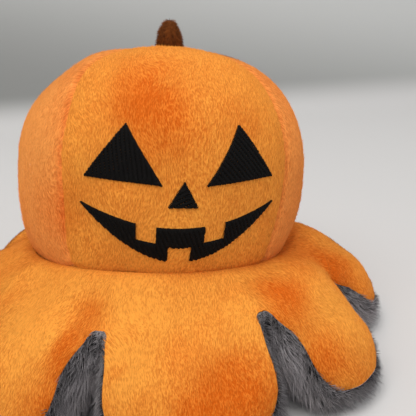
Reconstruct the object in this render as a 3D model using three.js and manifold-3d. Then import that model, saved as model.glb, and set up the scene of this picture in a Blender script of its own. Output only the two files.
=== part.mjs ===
// A reversible stuffed pumpkin toy: an orange plush head with a stitched lantern face and a short brown stem,
// on a skirt of stuffed petals that are orange above and long grey fur below. The toy's second head is tucked
// up inside the first as a fur-lined pocket. Millimetres, +Z up, the face looks along -Y, and the origin is
// on the table under the middle of the neck. Left and right are those of someone who looks at the face, so
// that right is +X.

import * as THREE from "three";
import { mergeVertices } from "three/addons/utils/BufferGeometryUtils.js";
import Module from "manifold-3d";

const wasm = await Module();
wasm.setup();

// Driving dimensions

const fit = 0.3; // clearance between pieces that touch
const plushThickness = 2.2; // backing and short pile of the orange cloth
const furThickness = 5; // backing and long pile of the grey cloth

const headRadius = 61; // at the widest level
const headCrown = 49.5; // widest level up to the crown
const creaseDrop = 38.1; // widest level down to the crease above the skirt
const neckTuck = 3.9; // crease down to the neck seam, hidden in it
const neckDrop = creaseDrop + neckTuck;
const sideClosing = 4.6; // neck seam down to where the head's sides would close
const headDepth = neckDrop + sideClosing;
const creaseHeight = 41.5; // middle of the crease above the table
const leanBack = 11.7; // degrees that the head leans back
const leanSide = 4.9; // degrees that it leans to the right
const sway = 0.047; // sideways shift to the right for each millimetre up from the crease to the widest level
const crownPower = 0.88; // below 1 makes the crown fuller than an ellipse
const cheekPower = 0.28; // below 1 makes the lower sides steeper than an ellipse
const dimpleDepth = 1.8; // the crown sinks around the stem
const dimpleRadius = 14;
const facePanelHalfAngle = 48; // face's middle to its seam at the widest level, degrees
const facePanelSpread = 12; // degrees that the seam opens towards the crown
const facePanelSpreadFrom = 0.45; // share of the way up from the neck where it starts to open
const facePanelTuck = 4; // degrees that it closes towards the neck
const facePanelTuckPower = 3; // a higher power keeps the tuck nearer the neck

const petalCount = 8;
const flexRadius = 70; // axis to the line where a petal flexes
const flexHeight = 42.5; // that line above the table, on the orange side
const flexGap = 0.3;
const notchGap = 2.2; // between the roots of two petals, so that both can hang down
const petalSquareness = { top: 2, belly: 5 }; // a higher power makes the petal's back or belly flatter
const droopAngle = 14; // degrees of room below the flex line for a petal that hangs down
const petalLength = 30.3; // flex line to tip, seen from above
const petalHalfWidth = 22; // of a plump petal
const frontHalfWidth = 31; // of the front petal, which lies flatter
const petalSpreadTo = 0.5; // share of the length over which a petal reaches that width
const petalTipNarrowing = 0.32; // share of the width lost at the tip
const petalTipPower = 5; // a higher power keeps the narrowing nearer the tip
const petalTipRound = 0.2; // share of the length lost at the tip's corners
const petalCornerPower = 3; // a higher power keeps the rounding nearer the corners
const notchHeight = 30; // edge seam above the table, at a notch
const frontNotchHeight = 40; // and at the two notches beside the front petal
const rootBellyHeight = 15; // fur side above the table, at the flex line and in to the pocket's mouth
const tipHeight = 10; // edge seam above the table, at the tip
const topShoulder = { out: 12.5, up: 38.4 }; // pulls of the orange side's curve, beyond the flex line
const topNose = { out: 29.3, up: 24 };
const seamShoulder = { out: 11, down: 6 }; // that one lies below the notch
const seamNose = { out: 24.8, up: 18.5 };
const bellyHeel = { out: 4, up: -3.8 };
const bellyToe = { out: 25, up: -6.2 };

const skirtPuff = 2.5; // the skirt swells between the crease and the petals
const skirtPuffPlace = 0.5; // share of the way out, and of the climb, where it swells most
const bellyFlat = 0.62; // share of the way out to the petals that the skirt's underside stays low
const bellyClimb = 0.2; // share of its climb to the notches that it makes there

const pocketRadius = 25; // clear radius of the fur pocket
const pocketTop = 78; // above the table
const pocketDome = 20; // height of its rounded top
const pocketFlare = 2; // the mouth is that much wider
const pocketFlareHeight = 6; // above the mouth
const liningThickness = 3.5;

const stemRadius = 5.8; // at the foot, and of the ball that it turns on
const stemAside = 2.3; // to the right of the crown's middle
const stemHeight = 12.5; // above the middle of that ball
const stemWaist = 4.6; // radius at half height
const stemTip = 2.6; // radius just below the tip
const stemCloth = 1.3;
const stemOpening = 2.6; // radius of the hole in the stem's foot
const stemClearance = 0.5; // between its ball and the crown

const threadHeight = 0.7; // how far stitching stands off the cloth
const neckThreadRadius = 0.6;
const eyeCorners = { inner: [8, -5], outer: [37, -2], peak: [22, 17] }; // across and up from the face's middle
const noseCorners = { half: 5.5, low: -12.5, peak: -3.5 };
const mouthHalfWidth = 39;
const mouthCorner = -11.5; // height of the mouth's ends
const mouthUpper = -20; // middle of the upper lip
const mouthLower = -32.5; // middle of the lower lip
const upperTooth = { across: 13, width: 8, height: 6 };
const lowerTooth = { across: 0, width: 9, height: 5.5 };

const pocketSegments = 20; // faces round each turned piece
const stemSegments = 14;
const seatSegments = { round: 20, up: 12 };
const threadSegments = { round: 5, along: 48 };
const alike = 0.1; // lengths that differ by less are taken as equal

// Finishes, in the photograph's colours

const finish = (color, roughness) => new THREE.MeshStandardMaterial({ color, roughness, metalness: 0 });
const orangePlush = finish(0xee8a34, 0.9);
const greyFur = finish(0x7d7a7e, 0.95);
const brownPlush = finish(0x64391f, 0.95);
const blackThread = finish(0x100e0e, 0.6);
const orangeThread = finish(0xb4551a, 0.7);
const stuffing = finish(0xf0efea, 1);

// Small helpers

const radians = THREE.MathUtils.degToRad;
const mix = THREE.MathUtils.lerp;
const range = (count) => Array.from({ length: count }, (_, i) => i);
const spans = (count) => range(count + 1).map((i) => i / count);
/** Steps from -1 to 1 that are closer at the ends. */
const crowded = (count) => spans(count).map((t) => Math.sin((t - 0.5) * Math.PI));
const grid = (rows, columns, make) => rows.map((row) => columns.map((column) => make(row, column)));

/** A manifold from a list of triangle corners, with equal corners merged and empty triangles left out. */
function solid(corners) {
  const merged = mergeVertices(new THREE.BufferGeometry().setFromPoints(corners), 1e-3);
  const index = merged.index.array;
  const kept = [];
  for (let i = 0; i < index.length; i += 3) {
    const [a, b, c] = index.subarray(i, i + 3);
    if (a !== b && b !== c && c !== a) kept.push(a, b, c);
  }
  const vertProperties = merged.attributes.position.array;
  const make = (list) =>
    new wasm.Manifold(new wasm.Mesh({ numProp: 3, vertProperties, triVerts: new Uint32Array(list) }));
  const made = make(kept);
  return made.volume() > 0 ? made : make(kept.reverse());
}

/** Two triangles across four corners, split along the shorter diagonal, or the first where they are alike. */
const quad = (a, b, c, d) =>
  a.distanceTo(c) <= b.distanceTo(d) + alike ? [a, b, c, a, c, d] : [a, b, d, b, c, d];

/** The quads of a grid of points, row to row. closed joins its last column to its first. */
function skin(rows, closed) {
  const columns = rows[0].length;
  return range(rows.length - 1).flatMap((i) =>
    range(closed ? columns : columns - 1).flatMap((j) => {
      const k = (j + 1) % columns;
      return quad(rows[i][j], rows[i][k], rows[i + 1][k], rows[i + 1][j]);
    }),
  );
}

/** The solid between two grids of points. closed makes it a ring. */
function between(outer, inner, closed = false) {
  const corners = [
    ...skin(outer, closed),
    ...skin(inner, closed).reverse(),
    ...skin([outer.at(-1), inner.at(-1)], closed),
    ...skin([inner[0], outer[0]], closed),
  ];
  if (!closed) {
    const side = (rows, column) => rows.map((row) => row[column]);
    const far = outer[0].length - 1;
    corners.push(...skin([side(inner, far), side(outer, far)], false));
    corners.push(...skin([side(outer, 0), side(inner, 0)], false));
  }
  return solid(corners);
}

/** The solid inside a stack of rings, closed by a fan at each end. */
function stack(rings) {
  const cap = (ring) => {
    const middle = ring.reduce((sum, p) => sum.add(p), new THREE.Vector3()).divideScalar(ring.length);
    return ring.flatMap((p, j) => [middle, ring[(j + 1) % ring.length], p]);
  };
  return solid([...skin(rings, true), ...cap(rings[0]), ...cap(rings.at(-1)).reverse()]);
}

/** A three.js geometry as a manifold. */
function fromGeometry(geometry) {
  const flat = geometry.index ? geometry.toNonIndexed() : geometry;
  const place = flat.getAttribute("position");
  return solid(range(place.count).map((i) => new THREE.Vector3().fromBufferAttribute(place, i)));
}

/** A turned solid about Z from [radius, height] pairs, which start and end on the axis or close up. */
function turned(profile, segments) {
  const points = profile.map(([r, z]) => new THREE.Vector2(r, z));
  return fromGeometry(new THREE.LatheGeometry(points, segments).rotateX(Math.PI / 2));
}

const moved = (made, matrix) => made.transform([...matrix.elements]);

function named(name, made, material) {
  const { numVert, numProp, vertProperties, triVerts } = made.getMesh();
  const points = new Float32Array(numVert * 3);
  for (const i of range(numVert)) {
    points.set(vertProperties.subarray(i * numProp, i * numProp + 3), i * 3);
  }
  const geometry = new THREE.BufferGeometry()
    .setAttribute("position", new THREE.BufferAttribute(points, 3))
    .setIndex(new THREE.BufferAttribute(triVerts, 1));
  geometry.computeVertexNormals();
  const mesh = new THREE.Mesh(geometry, material);
  mesh.name = name;
  return mesh;
}

// Head, in its own frame: origin at the middle of the widest level, Z up its own axis, face along -Y

const lean = new THREE.Matrix4()
  .makeTranslation(0, 0, creaseHeight)
  .multiply(new THREE.Matrix4().makeRotationY(radians(leanSide)))
  .multiply(new THREE.Matrix4().makeRotationX(-radians(leanBack)));

const headFrame = lean.clone().multiply(new THREE.Matrix4().makeTranslation(0, 0, creaseDrop));

/** Radius of the head's cloth at a height, inset from its surface. */
function headRadiusAt(height, inset = 0) {
  const [limit, power] = height > 0 ? [headCrown - inset, crownPower] : [headDepth, cheekPower];
  return (headRadius - inset) * Math.max(0, 1 - (height / limit) ** 2) ** (power / 2);
}

/** A point of the head's cloth at a height and an angle from the face's middle, inset from its surface. */
function headPoint(height, angle, inset = 0) {
  const r = headRadiusAt(height, inset);
  const dimple = height > 0 ? dimpleDepth * Math.exp(-((r / dimpleRadius) ** 2)) : 0;
  const aside = sway * (creaseDrop + Math.min(height, 0));
  return new THREE.Vector3(aside + r * Math.sin(angle), -r * Math.cos(angle), height - dimple);
}

/** Height at a share of the way from the neck seam (0) to the crown (1), in even turns of the profile. */
function headHeight(share, inset = 0) {
  const turn = mix(-Math.asin(neckDrop / headDepth), Math.PI / 2, share);
  return (turn < 0 ? headDepth : headCrown - inset) * Math.sin(turn);
}

/** Angle from the middle of the face to the seam at its side. */
function faceSeam(share) {
  const opening = facePanelSpread * THREE.MathUtils.smoothstep(share, facePanelSpreadFrom, 1);
  const tuck = facePanelTuck * (1 - share) ** facePanelTuckPower;
  return radians(facePanelHalfAngle + opening - tuck);
}

/** Angles across one of the four panels, counted from the face round by the right, trimmed at its seams. */
function panelAngles(panel, share, trim) {
  const wide = panel % 2 === 0;
  const half = (wide ? faceSeam(share) : Math.PI / 2 - faceSeam(share)) - trim / headRadius;
  return spans(wide ? 7 : 5).map((t) => panel * (Math.PI / 2) + mix(-half, half, t));
}

const headShares = spans(10);

/** One panel of the head's cloth. */
function headPanel(panel) {
  const layer = (inset) =>
    headShares.map((share) =>
      panelAngles(panel, share, fit / 2).map((angle) => headPoint(headHeight(share, inset), angle, inset)),
    );
  return moved(between(layer(0), layer(plushThickness)), headFrame);
}

/** Everything inside the head's cloth above the neck seam. */
function headCore() {
  const inset = plushThickness + fit;
  const ring = (share) =>
    range(4)
      .flatMap((panel) => panelAngles(panel, share, 0).slice(0, -1))
      .map((angle) => headPoint(headHeight(share, inset), angle, inset));
  return moved(stack(headShares.map(ring)), headFrame);
}

/** Inside of the fur pocket or, at an offset, the outside of what surrounds it. */
function pocket(offset, bottom) {
  const radius = pocketRadius + offset;
  const dome = pocketTop + offset;
  const bend = pocketTop - pocketDome;
  const arc = spans(4).map((t) => (t * Math.PI) / 2);
  return turned(
    [
      [0, bottom],
      [radius + pocketFlare, bottom],
      [radius, rootBellyHeight + pocketFlareHeight],
      ...arc.map((a) => [radius * Math.cos(a), bend + (dome - bend) * Math.sin(a)]),
    ],
    pocketSegments,
  );
}

// Skirt and petals: each petal has its own frame, with x out from the flex line, y across and z up

const pitch = (2 * Math.PI) / petalCount;
const petalSides = ["front", "front_right", "right", "back_right", "back", "back_left", "left", "front_left"];
const petalName = (k) => petalSides[k] ?? `extra_${k + 1}`;

const curve = (start, first, second, end) => {
  const points = [start, first, second, end].map(({ out, up }) => new THREE.Vector2(out, up));
  return new THREE.CubicBezierCurve(...points);
};
const tip = { out: petalLength, up: tipHeight };
const sections = {
  top: curve({ out: 0, up: flexHeight }, topShoulder, topNose, tip),
  belly: curve({ out: 0, up: rootBellyHeight }, bellyHeel, bellyToe, tip),
};

/** An edge seam from the notch where it starts. */
const seamFrom = (height) =>
  curve({ out: 0, up: height }, { out: seamShoulder.out, up: height - seamShoulder.down }, seamNose, tip);
const frontSeam = seamFrom(frontNotchHeight);
const otherSeam = seamFrom(notchHeight);

/** Whether a place across a petal is on the side of one of the two notches beside the front petal. */
const nearFront = (k, across) => k === 0 || (k === 1 && across < 0) || (k === petalCount - 1 && across > 0);

const seamLength = otherSeam.getLength();
const petalRootHalf = flexRadius * Math.tan(pitch / 2) - notchGap / 2 / Math.cos(pitch / 2);

/** How full a petal is at a place across it, from 1 in the middle to 0 at its edge seam. */
function fullness(side, across) {
  return Math.sqrt(Math.max(0, 1 - Math.abs(across) ** petalSquareness[side]));
}

function petalWidth(k, along) {
  const spread = THREE.MathUtils.smoothstep(along, 0, petalSpreadTo);
  const half = mix(petalRootHalf, k === 0 ? frontHalfWidth : petalHalfWidth, spread);
  return half * (1 - petalTipNarrowing * along ** petalTipPower);
}

/**
 * A point on the top or belly of petal k, along from 0 to 1 and across from -1 to 1. depth is about how far it
 * lies under the cloth, less where the petal is thin, margin how far it stays inside the edge seam, and lift
 * moves it off the seam's own level.
 */
function petalPoint(k, side, along, across, { depth, margin, lift }) {
  const place = along * (1 - margin / seamLength);
  const seam = (nearFront(k, across) ? frontSeam : otherSeam).getPoint(place);
  const rise = sections[side].getPoint(place).sub(seam);
  const height = rise.length();
  rise.multiplyScalar(height > 0 ? (fullness(side, across) * height) / (height + depth) : 0);
  const reach = 1 - petalTipRound * Math.abs(across) ** petalCornerPower;
  return new THREE.Vector3(
    (seam.x + rise.x) * reach + lift * place,
    across * (petalWidth(k, place) - margin),
    seam.y + rise.y + lift * (1 - place),
  );
}

const petalRows = spans(5).map((t) => Math.sin((t * Math.PI) / 2));
const petalColumns = crowded(6);
const petalLayer = (k, side, depth, margin, lift) =>
  grid(petalRows, petalColumns, (along, across) => petalPoint(k, side, along, across, { depth, margin, lift }));

const petalFrame = (k) =>
  new THREE.Matrix4()
    .makeRotationZ(k * pitch - Math.PI / 2)
    .multiply(new THREE.Matrix4().makeTranslation(flexRadius, 0, 0));

/** The table, as a block to cut by. */
function table() {
  const side = 2 * (flexRadius + 2 * petalLength);
  return fromGeometry(new THREE.BoxGeometry(side, side, side).translate(0, 0, -side / 2));
}

/** The three pieces of one petal. */
function petal(k) {
  const half = fit / 2;
  const place = (made) => moved(made, petalFrame(k));
  const cover = (side, thickness, lift) =>
    between(petalLayer(k, side, 0, 0, lift), petalLayer(k, side, thickness, furThickness, lift));
  const core = between(
    petalLayer(k, "top", plushThickness + fit, furThickness + fit, 0),
    petalLayer(k, "belly", furThickness + fit, furThickness + fit, 0),
  );
  return [
    named(`petal_top_${petalName(k)}`, place(cover("top", plushThickness, half)), orangePlush),
    named(`petal_fur_${petalName(k)}`, place(cover("belly", furThickness, -half)).subtract(table()), greyFur),
    named(`petal_filling_${petalName(k)}`, place(core), stuffing),
  ];
}

const skirtColumns = range(petalCount).flatMap((k) =>
  crowded(5)
    .slice(0, -1)
    .map((across) => ({ k, across })),
);

/** Points on the skirt's outer edge at a level of cloth or stuffing, with room below for a hanging petal. */
const skirtEdge = (side, level, lift) =>
  skirtColumns.map(({ k, across }) => {
    const notch = nearFront(k, across) ? frontNotchHeight : notchHeight;
    const height = mix(notch, level, fullness(side, across)) + lift;
    const out = flexRadius - flexGap - (flexHeight - height) * Math.tan(radians(droopAngle));
    const place = new THREE.Vector3(out, across * out * Math.tan(pitch / 2), height);
    return place.applyMatrix4(new THREE.Matrix4().makeRotationZ(k * pitch - Math.PI / 2));
  });

const skirtAngle = ({ k, across }) => k * pitch + Math.atan(across * Math.tan(pitch / 2));

const mouthRadius = pocketRadius + pocketFlare + liningThickness + fit;

/** Points of a level ring. */
const levelRing = (radius, height) =>
  skirtColumns.map((column) => {
    const angle = skirtAngle(column);
    return new THREE.Vector3(radius * Math.sin(angle), -radius * Math.cos(angle), height);
  });

const neckGroove = 2 * neckThreadRadius + 3 * fit;

/** Points of the crease on the skirt's side of the neck thread, lowered. */
const creaseRing = (depth) =>
  levelRing(headRadiusAt(-creaseDrop) + neckGroove, -creaseDrop).map((p) => {
    p.applyMatrix4(headFrame);
    return p.setZ(p.z - depth);
  });

/** Points between two rings: a share of the way out, at a share of the climb, raised. */
const partWay = (from, to, out, climb, rise) =>
  from.map((p, i) => p.clone().lerp(to[i], out).setZ(mix(p.z, to[i].z, climb) + rise));

/** Rows of the skirt's upper side at a depth under its cloth. */
function skirtUpper(depth, lift) {
  const neck = creaseRing(depth);
  const edge = skirtEdge("top", flexHeight - depth, lift);
  return [neck, partWay(neck, edge, skirtPuffPlace, skirtPuffPlace, skirtPuff), edge];
}

/** Rows of the skirt's underside at a depth inside its fur. */
function skirtUnder(depth, lift) {
  const mouth = levelRing(mouthRadius, rootBellyHeight + depth);
  const edge = skirtEdge("belly", rootBellyHeight + depth, lift);
  return [mouth, partWay(mouth, edge, bellyFlat, bellyClimb, 0), edge];
}

const skirtTop = () => between(skirtUpper(0, fit / 2), skirtUpper(plushThickness, fit / 2), true);
const skirtFur = () => between(skirtUnder(0, -fit / 2), skirtUnder(furThickness, -fit / 2), true);

/** Stuffing of the skirt, between its two cloths and under the neck. */
function skirtFilling() {
  const underNeck = (radius) => levelRing(radius, -neckDrop - fit).map((p) => p.applyMatrix4(headFrame));
  const upper = [
    underNeck(mouthRadius),
    underNeck(headRadiusAt(-neckDrop) + fit),
    ...skirtUpper(plushThickness + fit, 0),
  ];
  return between(upper, skirtUnder(furThickness + fit, 0), true);
}

/** The thread that draws the neck in. */
function neckThread() {
  const radius = headRadiusAt(-creaseDrop) + fit + neckThreadRadius;
  const ring = new THREE.TorusGeometry(radius, neckThreadRadius, threadSegments.round, threadSegments.along);
  return moved(fromGeometry(ring.translate(0, 0, -creaseDrop)), headFrame);
}

// Stem, about the middle of its ball

const stemPlace = sway * creaseDrop + stemAside;
const stemFoot = new THREE.Vector3(stemPlace, 0, headCrown - dimpleDepth).applyMatrix4(headFrame);
const stemFrame = lean.clone().setPosition(stemFoot);

/** [radius, height] pairs up the outside of the stem, inset, from a radius on the underside of its ball. */
function stemProfile(inset, opening) {
  const ball = stemRadius - inset;
  const start = Math.acos(opening / ball);
  const foot = spans(3).map((t) => (t - 1) * start);
  return [
    ...foot.map((a) => [ball * Math.cos(a), ball * Math.sin(a)]),
    [stemWaist - inset, stemHeight / 2],
    [stemTip - inset / 2, stemHeight - stemTip / 2 - inset],
    [0, stemHeight - inset],
  ];
}

function stemCover() {
  const outside = stemProfile(0, stemOpening);
  const inside = stemProfile(stemCloth, stemOpening).reverse();
  return moved(turned([...outside, ...inside, outside[0]], stemSegments), stemFrame);
}

function stemFilling() {
  const outside = stemProfile(stemCloth + fit, stemOpening - fit);
  return moved(turned([[0, outside[0][1]], ...outside], stemSegments), stemFrame);
}

/** The room in the crown that the stem's ball turns in. */
function stemSeat() {
  const ball = new THREE.SphereGeometry(stemRadius + stemClearance, seatSegments.round, seatSegments.up);
  return moved(fromGeometry(ball), stemFrame);
}

// Stitching of the face

/** A raised patch of stitches over the face. edges gives [across, up] for a place u across and v up it. */
function stitched(columns, rows, edges) {
  const layer = (lift) =>
    grid(spans(rows), spans(columns), (v, u) => {
      const [across, up] = edges(u, v);
      return headPoint(up, across / headRadius, -lift);
    });
  return between(layer(fit + threadHeight), layer(fit));
}

/** A triangle of stitches from its two lower corners and its peak. */
function stitchedTriangle([x0, y0], [x1, y1], [xp, yp]) {
  return stitched(4, 3, (u, v) => [mix(mix(x0, x1, u), xp, v), mix(mix(y0, y1, u), yp, v)]);
}

const stitchedEye = (side) =>
  stitchedTriangle(
    ...[eyeCorners.inner, eyeCorners.outer, eyeCorners.peak].map(([across, up]) => [side * across, up]),
  );

const stitchedNose = () =>
  stitchedTriangle(
    [-noseCorners.half, noseCorners.low],
    [noseCorners.half, noseCorners.low],
    [0, noseCorners.peak],
  );

const lip = (middle, across) => mix(middle, mouthCorner, (across / mouthHalfWidth) ** 2);

/** A square gap in the grin. up is 1 for a tooth that hangs from the upper lip, -1 for one that stands. */
function toothGap({ across, width, height }, up) {
  const angle = across / headRadius;
  const level = lip(up > 0 ? mouthUpper : mouthLower, across);
  const block = new THREE.BoxGeometry(width, headRadius / 4, 2 * height).rotateZ(angle);
  const middle = headPoint(level, angle);
  return fromGeometry(block.translate(middle.x, middle.y, middle.z));
}

function stitchedMouth() {
  const grin = stitched(14, 2, (u, v) => {
    const across = mix(-mouthHalfWidth, mouthHalfWidth, u);
    return [across, mix(lip(mouthLower, across), lip(mouthUpper, across), v)];
  });
  const mirrored = { ...upperTooth, across: -upperTooth.across };
  const gaps = [toothGap(upperTooth, 1), toothGap(mirrored, 1), toothGap(lowerTooth, -1)];
  return gaps.reduce((left, gap) => left.subtract(gap), grin);
}

// The toy

const panelNames = ["face_panel", "right_side_panel", "back_panel", "left_side_panel"];
const liningRoom = liningThickness + fit;
const headFilling = headCore().subtract(pocket(liningRoom, -headCrown)).subtract(stemSeat());
const pocketLining = pocket(liningThickness, rootBellyHeight).subtract(pocket(0, rootBellyHeight - fit));
const onFace = (made) => moved(made, headFrame);

const toy = new THREE.Group();
toy.add(
  ...panelNames.map((name, panel) => named(name, headPanel(panel).subtract(stemSeat()), orangePlush)),
  named("head_filling", headFilling, stuffing),
  named("pocket_lining", pocketLining, greyFur),
  named("left_eye", onFace(stitchedEye(-1)), blackThread),
  named("right_eye", onFace(stitchedEye(1)), blackThread),
  named("nose", onFace(stitchedNose()), blackThread),
  named("mouth", onFace(stitchedMouth()), blackThread),
  named("neck_thread", neckThread(), orangeThread),
  named("skirt_top", skirtTop(), orangePlush),
  named("skirt_fur", skirtFur(), greyFur),
  named("skirt_filling", skirtFilling(), stuffing),
  named("stem_cover", stemCover(), brownPlush),
  named("stem_filling", stemFilling(), stuffing),
  ...range(petalCount).flatMap(petal),
);

export default toy;
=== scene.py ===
import logging
import math
from collections.abc import Callable, Iterable
from dataclasses import dataclass, field
from enum import Enum, IntEnum

import bpy
import numpy as np
from mathutils import Matrix
from numpy.typing import NDArray


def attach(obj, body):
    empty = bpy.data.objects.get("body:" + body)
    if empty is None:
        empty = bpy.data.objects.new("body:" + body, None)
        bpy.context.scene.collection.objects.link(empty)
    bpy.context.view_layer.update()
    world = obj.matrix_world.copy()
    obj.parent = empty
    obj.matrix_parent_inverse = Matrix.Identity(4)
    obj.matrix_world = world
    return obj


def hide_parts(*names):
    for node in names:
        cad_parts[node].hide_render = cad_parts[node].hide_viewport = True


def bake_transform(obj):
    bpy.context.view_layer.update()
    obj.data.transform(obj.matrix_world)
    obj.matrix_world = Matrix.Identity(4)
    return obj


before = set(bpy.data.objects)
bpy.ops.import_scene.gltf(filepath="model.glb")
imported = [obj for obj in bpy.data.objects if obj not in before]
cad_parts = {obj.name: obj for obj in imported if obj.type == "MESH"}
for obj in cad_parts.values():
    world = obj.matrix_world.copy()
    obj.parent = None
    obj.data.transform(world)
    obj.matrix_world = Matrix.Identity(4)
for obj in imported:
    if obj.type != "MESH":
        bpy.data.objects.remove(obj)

Array = NDArray[np.float64]
Indices = NDArray[np.int64]
Pair = tuple[float, float]
Triple = tuple[float, float, float]
Colour = tuple[int, int, int]
MILLIMETRE = 0.001
TINY = 1e-9  # keeps a division off zero
WAVES = 8  # sine waves in a ripple
WAVE_RANGE = (0.7, 1.5)  # their wavelengths, as shares of the middle one
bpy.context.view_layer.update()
LOG = logging.getLogger("plush_pumpkin")


class Seed(IntEnum):
    """Starts of the random draws. A pile adds its piece's number, and its locks add 2 and 3."""

    HEAD_LUMPS = 11
    SKIRT_LUMPS = 31
    STEM_LUMPS = 41
    NAP_SWIRL = 61
    # edges of the places of brushed pile, painted shade and painted light
    NAP_DRIFT = 62
    BRUSHED_AND_PAINTED_LIGHT_EDGE = 71
    HEAD_PILE = 100
    STITCHES = 200
    SKIRT_PILE = 300
    SKIRT_FUR = 400
    POCKET_FUR = 500
    STEM_PILE = 600


# Small sums on whole arrays


def smooth(values: Array, start: float, end: float) -> Array:
    """Gives 0 before start, 1 after end and an even S between them."""
    share = np.clip((values - start) / (end - start), 0.0, 1.0)
    return share * share * (3.0 - 2.0 * share)


def unit(vectors: Array) -> Array:
    """Gives vectors of length one."""
    return vectors / np.maximum(np.linalg.norm(vectors, axis=-1, keepdims=True), TINY)


def bezier(corners: tuple[Pair, ...], share: Array) -> Array:
    """Points on a cubic curve: the corners weighted by the four cubic Bernstein terms.

    Args:
        corners: Four (out, up) corners.
        share: Place along the curve, from 0 to 1.

    Returns:
        The points, with (out, up) on a new last axis.
    """
    s = share[..., None]
    weights = ((1 - s) ** 3, 3 * s * (1 - s) ** 2, 3 * s**2 * (1 - s), s**3)
    return sum(w * np.array(corner) for w, corner in zip(weights, corners))


def hermite(share: Array, start: Array, first: Array, end: Array, last: Array) -> Array:
    """Heights on a cubic curve: its ends and its slopes there, weighted by the four Hermite terms.

    Args:
        share: Place along the curve, from 0 to 1.
        start: Height at 0.
        first: Slope there.
        end: Height at 1.
        last: Slope there.

    Returns:
        The heights.
    """
    ends = (2 * share**3 - 3 * share**2 + 1) * start + (share**3 - 2 * share**2 + share) * first
    return ends + (3 * share**2 - 2 * share**3) * end + (share**3 - share**2) * last


def ripples(points: Array, wavelength: float, seed: int) -> Array:
    """Smooth lumps: the sum of sine waves in seeded directions, over the root of their number.

    Args:
        points: Places in millimetres.
        wavelength: Middle wavelength of the waves in millimetres.
        seed: Picks the waves.

    Returns:
        A value for each point, mostly from -1 to 1.
    """
    rng = np.random.default_rng(seed)
    directions = unit(rng.normal(size=(WAVES, 3)))
    lengths = wavelength * rng.uniform(*WAVE_RANGE, WAVES)
    phases = rng.uniform(0.0, 2 * math.pi, WAVES)
    turns = points @ (directions / lengths[:, None]).T * 2 * math.pi + phases
    return np.sin(turns).sum(-1) / math.sqrt(WAVES)


def round_axis(radius: Array | float, angle: Array, height: Array | float) -> Array:
    """Points at a radius and a height round the upright axis, at angles from the front by the right."""
    return np.stack(np.broadcast_arrays(radius * np.sin(angle), -radius * np.cos(angle), height), -1)


def inside(outline: Array, places: Array) -> Array:
    """Says which places lie in an outline, by counting the edges that a ray to the right crosses.

    Args:
        outline: Its corners, (corners, 2).
        places: Places to test, (places, 2).

    Returns:
        True for each place inside.
    """
    x, y = places[..., 0, None], places[..., 1, None]
    (x0, y0), (x1, y1) = outline.T, np.roll(outline, -1, 0).T
    crosses = (y0 > y) != (y1 > y)
    reach = x0 + (y - y0) / np.where(y1 == y0, TINY, y1 - y0) * (x1 - x0)
    return (crosses & (x < reach)).sum(-1) % 2 == 1


def distance_to(outline: Array, places: Array) -> Array:
    """Distance to the nearest edge: from each place to its foot on each edge, kept between the edge's ends.

    Args:
        outline: Its corners, (corners, 2).
        places: Places to measure from, (places, 2).

    Returns:
        The distance for each place.
    """
    run = np.roll(outline, -1, 0) - outline
    offset = places[..., None, :] - outline
    share = np.clip((offset * run).sum(-1) / (run * run).sum(-1), 0.0, 1.0)
    return np.linalg.norm(offset - share[..., None] * run, axis=-1).min(-1)


# Shapes before they become meshes


@dataclass
class Faces:
    """Corners in millimetres, the triangles between them, and a normal, a tone and a lie for each corner.

    Tone is 0 on plain cloth; the fibres of a pile go from dark at the root, below 0, to light at the tip:
    painted shade deep in the pile and painted light on its tips.
    The lie is the way across and along the lines of the pile, in millimetres, with a slow change as its
    third part.
    """

    corners: Array
    triangles: Indices
    normals: Array
    tone: Array | None = None
    lie: Array | None = None

    def __post_init__(self) -> None:
        """Fills in a plain tone and lie."""
        self.tone = np.zeros(len(self.corners)) if self.tone is None else self.tone
        self.lie = np.zeros((len(self.corners), 3)) if self.lie is None else self.lie

    @staticmethod
    def joined(parts: Iterable["Faces"]) -> "Faces":
        """Puts several shapes into one list of corners and triangles.

        Args:
            parts: The shapes.

        Returns:
            All of their faces.
        """
        parts = list(parts)
        starts = np.cumsum([0] + [len(part.corners) for part in parts[:-1]])
        return Faces(
            np.concatenate([part.corners for part in parts]),
            np.concatenate([part.triangles + start for part, start in zip(parts, starts)]),
            np.concatenate([part.normals for part in parts]),
            np.concatenate([part.tone for part in parts]),
            np.concatenate([part.lie for part in parts]),
        )


def grid_triangles(rows: int, columns: int, around: bool = False) -> Indices:
    """Two triangles for each cell of a grid.

    Args:
        rows: Its rows of corners.
        columns: Its columns of corners.
        around: Joins the last column to the first.

    Returns:
        The corners' numbers, three to a triangle.
    """
    row = np.arange(rows - 1)[:, None] * columns
    column = np.arange(columns if around else columns - 1)[None, :]
    after = (column + 1) % columns
    a, b = (row + column).ravel(), (row + after).ravel()
    c, d = b + columns, a + columns
    return np.concatenate([np.stack([a, b, c], -1), np.stack([a, c, d], -1)])


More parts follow.
